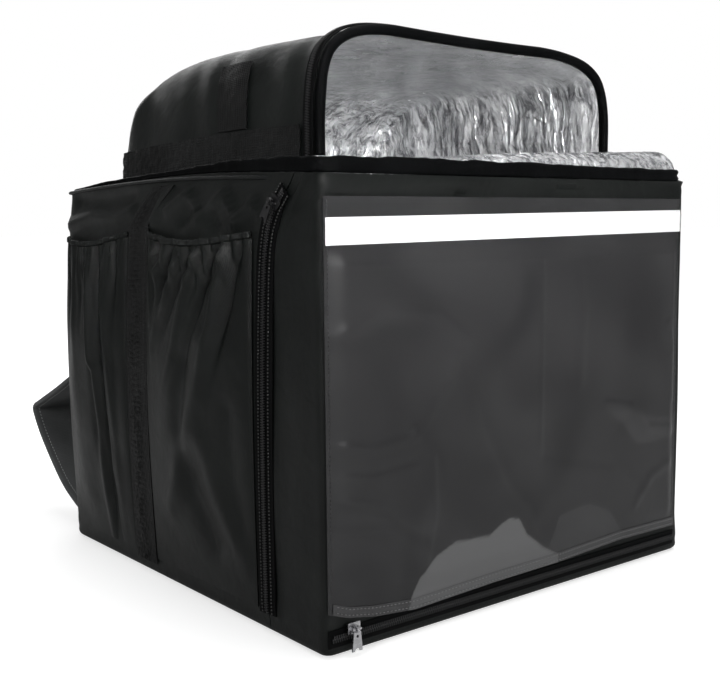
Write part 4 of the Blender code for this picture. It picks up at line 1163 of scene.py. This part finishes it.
def facet(place, size, seed):
    """Height of crushed foil: each cell is a flat facet tilted its own way."""
    spot = place / size + Vector((seed, seed * 1.7, seed * 0.3))
    near = noise.voronoi(spot)[1][0]
    tilt = noise.cell_vector(near * 3.7 + Vector((0.5, 0.5, 0.5)))
    return (spot - near).dot(tilt - Vector((0.5, 0.5, 0.5)))


def foil_material(name, facets, depth, stretch, dark, light):
    """Aluminised film: shiny metal crushed into long facets between sharp crinkle lines; its colour holds
    painted reflections in lighter and darker patches, and painted shade along the crinkle lines.
    """
    material, tree, shader, source = start_material(name, "Object")
    laid = add_node(tree, "ShaderNodeMapping", {"Rotation": (0.5, 0.4, 0.0), "Scale": stretch},
                    {"Vector": source})
    warp = grain(tree, laid.outputs["Vector"], 24.0, 4.0)
    bent = add_node(tree, "ShaderNodeVectorMath", {"Scale": 0.03}, {0: warp.outputs["Color"]},
                    operation="SCALE")
    moved = add_node(tree, "ShaderNodeVectorMath", None, {0: laid.outputs["Vector"], 1: bent.outputs[0]},
                     operation="ADD").outputs[0]
    crushed = add_node(tree, "ShaderNodeAttribute", attribute_name="crush").outputs["Fac"]
    normal = None
    for scale, tall in ((facets, depth), (facets * 2.6, depth * 0.35)):
        cells = add_node(tree, "ShaderNodeTexVoronoi", {"Scale": scale}, {"Vector": moved})
        height = add_node(tree, "ShaderNodeMath", None, {0: cells.outputs["Distance"], 1: crushed},
                          operation="MULTIPLY")
        normal = relief(tree, height.outputs[0], tall, under=normal)
    tree.links.new(normal, shader.inputs["Normal"])
    vary_gloss(tree, shader, warp.outputs["Fac"], 0.14, 0.34)
    # Painted reflections: the colour goes from dark to light in patches
    painted_reflection_tone = two_tones(tree, warp.outputs["Fac"], dark, light, 0.35, 0.65)
    # Painted shade: the colour darkens along crinkle lines, more where the film is crushed
    crinkle_shade_mask = grain(tree, moved, facets * 1.1, 5.0, 0.35, 0.72).outputs["Fac"]
    shaded = two_tones(tree, crinkle_shade_mask, (0.20, 0.20, 0.21), (1.0, 1.0, 1.0), 0.40, 0.57)
    strength = add_node(tree, "ShaderNodeMath", {1: 0.95}, {0: crushed}, operation="MULTIPLY")
    painted_reflection_and_shade = add_node(tree, "ShaderNodeMix", None, {0: strength.outputs[0], 6: painted_reflection_tone, 7: shaded},
                       data_type="RGBA", blend_type="MULTIPLY")
    tree.links.new(painted_reflection_and_shade.outputs[2], shader.inputs["Base Color"])
    shader.inputs["Metallic"].default_value = 0.50
    return material


def pad_outline(inset, corner, run_points, corner_points):
    """A closed rounded outline of the lid, anticlockwise, inset from the box."""
    half_x = WIDTH / 2 - inset
    half_y = DEPTH / 2 - inset
    radius = max(corner - inset, 0.004)
    corners = ((1, 1), (-1, 1), (-1, -1), (1, -1))
    path = []
    for quarter, (x, y) in enumerate(corners):
        centre = (x * (half_x - radius), y * (half_y - radius))
        path += turned(*centre, radius, quarter, quarter + 1, corner_points)
        following = corners[(quarter + 1) % 4]
        end = path[-1]
        angle = (quarter + 1) * math.pi / 2
        target = (following[0] * (half_x - radius) + radius * math.cos(angle),
                  following[1] * (half_y - radius) + radius * math.sin(angle))
        path += [(mix(end[0], target[0], s), mix(end[1], target[1], s)) for s in steps(run_points)[1:-1]]
    return path


# Painted shade: the pad's foil is the lining's film with darker colours, for the stronger light on the pad
foil_pad_painted_darker = foil_material("pad_foil", 110.0, 0.0016, (1.0, 1.0, 1.0), (0.44, 0.45, 0.46),
                         (0.72, 0.73, 0.74))
deselect()
bpy.ops.mesh.primitive_grid_add(x_subdivisions=170, y_subdivisions=170, size=1.0)
pad = bpy.context.object
pad.name = "pad_foil"
PAD_HALF = WIDTH / 2 - PAD_MARGIN
PAD_HALF_DEEP = DEPTH / 2 - PAD_MARGIN
PAD_ROUND = PAD_CORNER - PAD_MARGIN


def in_pad(u, v):
    """Carry a square grid to the pad's rounded outline; the third value is the distance inside it."""
    x = u * PAD_HALF
    y = v * PAD_HALF_DEEP
    over_x = abs(x) - (PAD_HALF - PAD_ROUND)
    over_y = abs(y) - (PAD_HALF_DEEP - PAD_ROUND)
    if over_x > 0 and over_y > 0:
        reach = max(over_x, over_y)
        length = math.hypot(over_x, over_y)
        x = math.copysign(PAD_HALF - PAD_ROUND + over_x / length * reach, x)
        y = math.copysign(PAD_HALF_DEEP - PAD_ROUND + over_y / length * reach, y)
        return x, y, PAD_ROUND - reach
    return x, y, min(PAD_HALF - abs(x), PAD_HALF_DEEP - abs(y))


def quilt(x, y):
    """The pad's upper face: sewn channels in squares, plump between, and crinkled all over."""
    across = abs(math.sin(math.pi * x / QUILT_PITCH))
    along = abs(math.sin(math.pi * y / QUILT_PITCH))
    plump = 0.0022 * (min(min(across, along) * 2.2, 1.0) ** 0.5 - 1.0)
    spot = Vector((x, y, 0.0))
    return plump + (0.0011 * facet(spot, 0.012, 2.0) + 0.0006 * facet(spot, 0.006, 5.0))


for vert in pad.data.vertices:
    x, y, inside = in_pad(vert.co.x * 2, vert.co.y * 2)
    rolled = min(inside / 0.020, 1.0)
    rise = pad_rise(x) * math.sin(rolled * math.pi / 2) ** 0.6 - 0.0035 * ease(0.02, -0.10, x)
    bump = quilt(x, y) * ease(0.002, 0.012, inside)
    vert.co = lid_slack(x, y, PAD_LOW + pad_edge(x) + rise + bump)
pick(pad)
bpy.ops.object.mode_set(mode="EDIT")
bpy.ops.mesh.select_all(action="DESELECT")
bpy.ops.mesh.select_non_manifold()
bpy.ops.mesh.extrude_region_move(TRANSFORM_OT_translate={"value": (0.0, 0.0, -0.010)})
bpy.ops.mesh.fill()
bpy.ops.mesh.select_all(action="SELECT")
bpy.ops.mesh.normals_make_consistent(inside=False)
bpy.ops.object.mode_set(mode="OBJECT")
bpy.ops.object.shade_smooth_by_angle(angle=math.radians(50))
note(pad, "crush", lambda co: 1.0)
fit_piece(pad, foil_pad_painted_darker, "foil", "lid_pad")

BINDING_SECTION = 14


def binding_ring(name, outline, low, proud):
    """A cloth binding folded over an edge: a closed puffy band round an outline, uneven along it."""
    count = len(outline)
    rows = []
    for turn_share in steps(BINDING_SECTION):
        angle = turn_share * 2 * math.pi
        row = []
        for i in range(count + 1):
            x, y = outline[i % count]
            before = outline[(i - 1) % count]
            after = outline[(i + 1) % count]
            out = Vector((after[1] - before[1], before[0] - after[0])).normalized()
            lumps = noise.noise(Vector((x / 0.034, y / 0.034, 2.0)))
            lumps += 0.5 * noise.noise(Vector((x / 0.011, y / 0.011, 0)))
            groove = ease(0.20, 0.215, abs(x)) * math.exp(-((math.sin(angle) - 0.1) / 0.24) ** 2)
            shift = proud * (0.5 - 0.5 * math.cos(angle)) * (1.0 + 0.32 * lumps - 0.5 * groove)
            high = low + pad_edge(x) * (1.0 + 0.15 * lumps)
            middle = (low + high) / 2
            arm = (high - low) / 2
            z = middle + arm * math.copysign(abs(math.sin(angle)) ** 0.8, math.sin(angle))
            row.append(lid_slack(x + out.x * shift, y + out.y * shift, z))
        rows.append(row)
    ring = lay_cloth(name, rows)
    close_shell(ring)
    return ring


binding = cloth_material("binding_tape", (0.0006, 0.0007, 0.0008), (0.0022, 0.0024, 0.0027), 0.0008, 0.55,
                         crease_depth=0.0009, crease_scale=90.0, specular=0.035)
ring = binding_ring("lid_binding_cloth", pad_outline(0.004, PAD_CORNER, 90, 14), PAD_LOW, 0.0044)
fit_piece(ring, binding, "binding", "lid_binding")


# Hood: an arched cover of padded nylon that stands on the lid, with its mouth open at the front.
# Its wall and crown are one padded sheet; it is fuller on its left and round at its rear corners.

HOOD_HALF = 0.1815
HOOD_FRONT = -0.161
HOOD_REAR = 0.207
HOOD_TOP = 0.503
HOOD_TALL = 0.1175
HOOD_WALL = 0.006
HOOD_CORNER = 0.028
HOOD_ROUND = 0.130
HOOD_ROUND_REAR = 0.3117
BAND_START = 0.0185
# Sections of the hood: height as a share, then insets at its left, right and rear as shares
HOOD_SECTION = (
    (0.00, 0.000, 0.000, 0.000), (0.08, 0.000, 0.000, 0.000), (0.22, 0.000, 0.000, 0.010),
    (0.42, 0.010, 0.008, 0.035), (0.62, 0.036, 0.042, 0.095), (0.78, 0.098, 0.110, 0.200),
    (0.90, 0.225, 0.255, 0.360), (0.97, 0.410, 0.455, 0.540), (1.00, 0.680, 0.700, 0.760),
    (1.00, 1.000, 1.000, 1.000),
)


def crown_height(x):
    """Height of the hood's crown, which falls a little to its right."""
    across = min(max(x / (2 * HOOD_HALF) + 0.5, 0.0), 1.0)
    return HOOD_TOP - 0.0045 * across - 0.001 * math.sin(math.pi * across) ** 2


def hood_height(x, share):
    """A height between the hood's foot on the lid and its crown."""
    return mix(pad_top(x) + 0.0006, crown_height(x), share)


def smooth_rows(rows, count):
    """More rows through the given ones, on a smooth curve of the third degree."""
    out = []
    for i in range(len(rows) - 1):
        a, b = rows[max(i - 1, 0)], rows[i]
        c, d = rows[i + 1], rows[min(i + 2, len(rows) - 1)]
        for step in range(count):
            t = step / count
            out.append(tuple(
                0.5 * (2 * q + (r - p) * t + (2 * p - 5 * q + 4 * r - s) * t * t
                       + (3 * q - 3 * r + s - p) * t ** 3)
                for p, q, r, s in zip(a, b, c, d)
            ))
    out.append(rows[-1])
    return out


def hood_left(share, y):
    """Half width on the left, where the shoulder is fuller behind the mouth."""
    fuller = 0.42 * (1.0 - share) * ease(HOOD_FRONT + 0.01, HOOD_FRONT + 0.10, y)
    return HOOD_HALF - HOOD_ROUND * share * (1.0 - fuller)


def hood_plan(left_share, right_share, rear_share):
    """The hood's line in plan from its right front round the rear to its left front."""
    right = HOOD_HALF - HOOD_ROUND * right_share
    left = hood_left(left_share, HOOD_REAR)
    rear = HOOD_REAR - HOOD_ROUND_REAR * rear_share
    second = HOOD_FRONT + BAND_START
    radius = min(HOOD_CORNER, right * 0.9, (rear - second) * 0.9)
    plan = [(right, HOOD_FRONT)]
    plan += [(right, mix(second, rear - radius, share)) for share in steps(14)[:-1]]
    plan += turned(right - radius, rear - radius, radius, 0, 1, 10)
    plan += [(mix(right - radius, radius - left, share), rear) for share in steps(16)[1:-1]]
    plan += turned(radius - left, rear - radius, radius, 1, 2, 10)
    for share in steps(14)[1:]:
        y = mix(rear - radius, second, share)
        plan.append((-hood_left(left_share, y), y))
    plan.append((-hood_left(left_share, HOOD_FRONT), HOOD_FRONT))
    return plan


def hood_cloth(name, lift, columns, per_row, foot_clear):
    """The hood's sheet, open at the front and the foot, its rows drawn together at the crown."""
    rows = []
    for height, *shares in smooth_rows(list(HOOD_SECTION), per_row):
        height = min(height, 1.0)
        plan = hood_plan(*[max(share, 0.0) for share in shares])
        rows.append(evenly([lid_slack(x, y, hood_height(x, height)) for x, y in plan], columns))
    middle = lid_slack(0.0, HOOD_FRONT, crown_height(0.0))
    last = rows[-1]
    for share in (0.25, 0.5, 0.75, 1.0):
        rows.append([point.lerp(middle, share) for point in last])
    skin = lay_cloth(name, rows)
    bpy.ops.object.mode_set(mode="EDIT")
    bpy.ops.mesh.select_all(action="SELECT")
    bpy.ops.mesh.remove_doubles(threshold=0.00001)
    bpy.ops.object.mode_set(mode="OBJECT")
    press(skin, lambda co: lift)
    for vert in skin.data.vertices:
        floor_spot = lid_slack(vert.co.x, vert.co.y, pad_top(vert.co.x) + foot_clear)
        vert.co.z = max(vert.co.z, min(floor_spot.z, vert.co.z + 0.004))
    return skin


def hood_slack(co):
    """Soft upright folds down the hood's sides and rear, and a smooth crown."""
    edge = ease(0.0, 0.03, co.y - HOOD_FRONT) * ease(0.0, 0.030, co.z - pad_top(co.x) - 0.002)
    round_it = co.y if abs(co.x) > 0.14 else co.x
    upright = noise.noise(Vector((round_it / 0.034, abs(co.x) / 0.2, co.z / 0.16)))
    wide = noise.noise(Vector((co.x / 0.10, co.y / 0.10, co.z / 0.07 + 3.0)))
    low = ease(0.500, 0.470, co.z)
    return edge * (0.0026 * upright * (0.35 + 0.65 * low) + 0.0022 * wide - 0.0016)


hood = hood_cloth("hood_cloth", 0.0, 200, 8, 0.0008)
press(hood, hood_slack)
give_thickness(hood, HOOD_WALL * 0.8)
fit_piece(hood, nylon, "nylon", "hood_shell")


# Hood lining: aluminised film inside the hood, loose and crinkled at the back and the sides.
# It is caught in the binding round the mouth and in the band at the foot.

def crushed_here(co):
    """The lining is crushed on its walls and drawn smooth under the crown."""
    return 0.16 + 0.84 * ease(0.486, 0.464, co.z)


def lining_slack(co):
    """The loose film hangs inwards in crushed facets."""
    edge = ease(0.0, 0.02, co.y - HOOD_FRONT) * ease(0.0, 0.02, co.z - pad_top(co.x) - 0.002)
    slant = Vector((co.x + 0.7 * co.z, co.y + 0.7 * co.z, (co.z - 0.5 * co.x) * 0.40))
    crumple = 0.0075 * abs(facet(slant, 0.026, 1.0)) + 0.0042 * abs(facet(slant, 0.011, 3.0))
    sag = 0.0030 * (0.5 + noise.noise(Vector((co.x / 0.05, co.y / 0.05, co.z / 0.05))))
    return -edge * crushed_here(co) * (crumple + max(sag, 0.0))


foil_lining = foil_material("lining_foil", 85.0, 0.0046, (1.0, 1.0, 0.30), (0.72, 0.73, 0.74),
                            (0.97, 0.97, 0.98))
lining = hood_cloth("hood_foil", -(HOOD_WALL + 0.0006), 240, 10, 0.0012)
press(lining, hood_slack, HOOD_WALL + 0.0006)
press(lining, lining_slack)
for vert in lining.data.vertices:
    roof = lid_slack(vert.co.x, vert.co.y, crown_height(vert.co.x))
    vert.co.z = min(vert.co.z, roof.z - HOOD_WALL - 0.0010)
give_thickness(lining, 0.0005)
note(lining, "crush", crushed_here)
fit_piece(lining, foil_lining, "foil", "hood_lining")


# Hood webbing: a band of webbing round the foot of the hood and a short upright length on each side.
# Both are stitched through the padded cloth.

BAND_TALL = 0.025
PATCH_WIDE = 0.050
PATCH_SETBACK = 0.199
PATCH_TALL = 0.062


def section_at(height):
    """Insets of the hood's left, right and rear at a height on its upright part."""
    return [look_up([(row[0], row[column]) for row in HOOD_SECTION[:-1]], height) for column in (1, 2, 3)]


rows = []
for share in steps(16):
    height = share * BAND_TALL / HOOD_TALL
    plan = hood_plan(*section_at(height))[1:-1]
    rows.append(evenly([lid_slack(x, y, hood_height(x, height) + 0.0004) for x, y in plan], 420))
band = lay_cloth("hood_band_webbing", rows)
press(band, lambda co: 0.0008 + 0.0016 * abs(noise.noise(co / 0.011)) + 0.0010 * noise.noise(co / 0.0045))
give_thickness(band, 0.0012, outward=True)
fit_piece(band, webbing, "webbing", "hood_base_band")
for side, side_name in ((-1, "left"), (1, "right")):
    rows = []
    for share in steps(40):
        height = (BAND_TALL + 0.0018 + PATCH_TALL * share) / HOOD_TALL
        shares = section_at(height)
        row = []
        for across in steps(20):
            y = PATCH_SETBACK + (across - 0.5) * PATCH_WIDE - DEPTH / 2
            x = HOOD_HALF - HOOD_ROUND * shares[1] if side > 0 else -hood_left(shares[0], y)
            spot = lid_slack(x, y, hood_height(x, height))
            ripple = 0.0006 * noise.noise(Vector((across * 5, share * 9, side)))
            spot.x += side * (hood_slack(spot) + ripple + 0.0012)
            row.append(spot)
        rows.append(row if side > 0 else row[::-1])
    patch = lay_cloth(f"hood_patch_{side_name}", rows)
    give_thickness(patch, 0.0014, outward=True)
    fit_piece(patch, webbing, "webbing", f"hood_webbing_{side_name}")


# Hood mouth: its front edge is bound in black tape, and one half of a zip runs round it
# behind the binding, with its teeth outwards.

def arch_line(count):
    """The hood's front edge from its right foot over the crown: points and outward directions."""
    sections = smooth_rows(list(HOOD_SECTION), 6)
    line = []
    for section in sections:
        x = HOOD_HALF - HOOD_ROUND * max(section[2], 0.0)
        line.append(Vector((x, hood_height(x, min(section[0], 1.0)))))
    line.append(Vector((0.0, crown_height(0.0))))
    for section in reversed(sections):
        x = HOOD_ROUND * max(section[1], 0.0) - HOOD_HALF
        line.append(Vector((x, hood_height(x, min(section[0], 1.0)))))
    line = evenly(line, count)
    frames = []
    for i, point in enumerate(line):
        before = line[max(i - 3, 0)]
        after = line[min(i + 3, len(line) - 1)]
        out = Vector((after.y - before.y, before.x - after.x)).normalized()
        frames.append((point, out))
    return frames


arch = arch_line(240)
rows = []
for turn_share in steps(14):
    angle = turn_share * 2 * math.pi
    row = []
    for point, out in arch:
        uneven = 1.0 + 0.10 * noise.noise(Vector((point.x / 0.03, point.y / 0.03, 3.0)))
        lift = -0.0030 + 0.0044 * math.cos(angle) * uneven
        ahead = -0.0042 + 0.0034 * math.sin(angle) * uneven
        spot = point + out * lift
        row.append(lid_slack(spot.x, HOOD_FRONT + ahead, spot.y))
    rows.append(row)
edge = lay_cloth("hood_edge_cloth", rows)
close_shell(edge)
fit_piece(edge, binding, "binding", "hood_edge_binding")
rows = []
chain = []
for point, out in arch:
    row = []
    spot = point + out * 0.0012
    for share in steps(8):
        row.append(lid_slack(spot.x, HOOD_FRONT - 0.001 + 0.014 * share, spot.y))
    rows.append(row)
    spot = point + out * (0.0012 + TAPE_THICK + TOOTH_TALL / 2)
    chain.append((lid_slack(spot.x, HOOD_FRONT + 0.0062, spot.y), Vector((out.x, 0.0, out.y))))
tape = lay_cloth("hood_zip_tape", rows)
give_thickness(tape, TAPE_THICK, outward=True)
fit_piece(tape, zip_tape, "zip_tape", "hood_zip")
tooth_run("zip_coil_hood", chain, zip_coil, "zip_tape")


# Shoulder straps: two 60 mm padded straps of ribbed dark grey cloth on the back, stitched along both edges;
# their colour is painted lighter grey, painted light for their lit face.
# Each is sewn near the top of the back and at its lower corner, and stands out in a slack loop.

STRAP_WIDE = 0.060
STRAP_THICK = 0.007
STRAP_FOOT = 0.022
STRAP_TOP = 0.338
STRAP_REACH = 0.121
STRAP_OUT = 0.110
SEAM_PLACE = 0.78
# The strap's line: height as a share, then how far it stands off the back and how far out it has run
STRAP_LINE = (
    (1.00, 0.00, 0.00), (0.86, 0.00, 0.06), (0.68, 0.02, 0.35), (0.53, 0.10, 0.70), (0.43, 0.42, 0.92),
    (0.355, 0.82, 1.00), (0.325, 1.00, 1.00), (0.295, 0.99, 1.00), (0.21, 0.82, 1.00), (0.08, 0.45, 1.00),
    (0.02, 0.16, 1.00), (0.00, 0.00, 1.00),
)

# Painted light: the straps' colour is set lighter than their dark cloth, for the light on their face
strap_cloth_painted_lighter = cloth_material("strap_cloth_painted_lighter", (0.0600, 0.0625, 0.0630), (0.0950, 0.0980, 0.0990), 0.0014, 0.5,
                             weave_depth=0.0004, crease_depth=0.0006, crease_scale=90.0, rib=(0.0022, 0.0014))
light_thread = thread_material("light_thread", (0.42, 0.43, 0.43))
for side, side_name in ((-1, "left"), (1, "right")):
    rest = STRAP_THICK / 2 + 0.0003
    line = []
    for height, reach, out in smooth_rows(list(STRAP_LINE), 12):
        x = side * mix(STRAP_OUT, WIDTH / 2 - 0.012 - STRAP_WIDE / 2, out)
        y = max(DEPTH / 2 + rest + STRAP_REACH * reach, DEPTH / 2 + rest)
        line.append(Vector((x, y, mix(STRAP_FOOT, STRAP_TOP, height))))
    line = evenly(line, 110)
    rows = [[] for turn_share in steps(32)]
    seams = [[], [], [], []]
    for i, point in enumerate(line):
        along = (line[min(i + 1, len(line) - 1)] - line[max(i - 1, 0)]).normalized()
        thick = Vector((1.0, 0.0, 0.0)).cross(along).normalized()
        for j, turn_share in enumerate(steps(32)):
            angle = turn_share * 2 * math.pi
            across = math.copysign(abs(math.cos(angle)) ** 0.35, math.cos(angle))
            swell = math.copysign(abs(math.sin(angle)) ** 0.55, math.sin(angle))
            channel = 1.0 - 0.28 * math.exp(-((abs(across) - SEAM_PLACE) / 0.06) ** 2)
            spot = point + Vector((STRAP_WIDE / 2 * across, 0.0, 0.0))
            spot += thick * (STRAP_THICK / 2 * swell * channel)
            rows[j].append(slack(*spot))
        for seam, (edge_side, face) in zip(seams, ((-1, 1), (1, 1), (-1, -1), (1, -1))):
            spot = point + Vector((STRAP_WIDE / 2 * SEAM_PLACE * edge_side, 0.0, 0.0))
            spot += thick * face * STRAP_THICK * 0.40
            seam.append((slack(*spot), thick * face))
    strap = lay_cloth(f"strap_cloth_painted_lighter_{side_name}", rows)
    close_shell(strap)
    fit_piece(strap, strap_cloth_painted_lighter, "webbing", f"shoulder_strap_{side_name}")
    corners = []
    for across, down in ((-0.62, 0.004), (0.62, 0.004), (0.62, 0.036), (-0.62, 0.036)):
        x = side * STRAP_OUT + STRAP_WIDE / 2 * across
        spot = slack(x, DEPTH / 2 + STRAP_THICK + 0.0007, STRAP_TOP - down)
        corners.append((spot, Vector((0.0, 1.0, 0.0))))
    seams += [[corners[i], corners[(i + 1) % 4]] for i in range(4)]
    seams += [[corners[0], corners[2]], [corners[1], corners[3]]]
    stitch_run(f"strap_seam_{side_name}", seams, light_thread, "webbing", pitch=0.0042, length=0.003,
               width=0.0009)
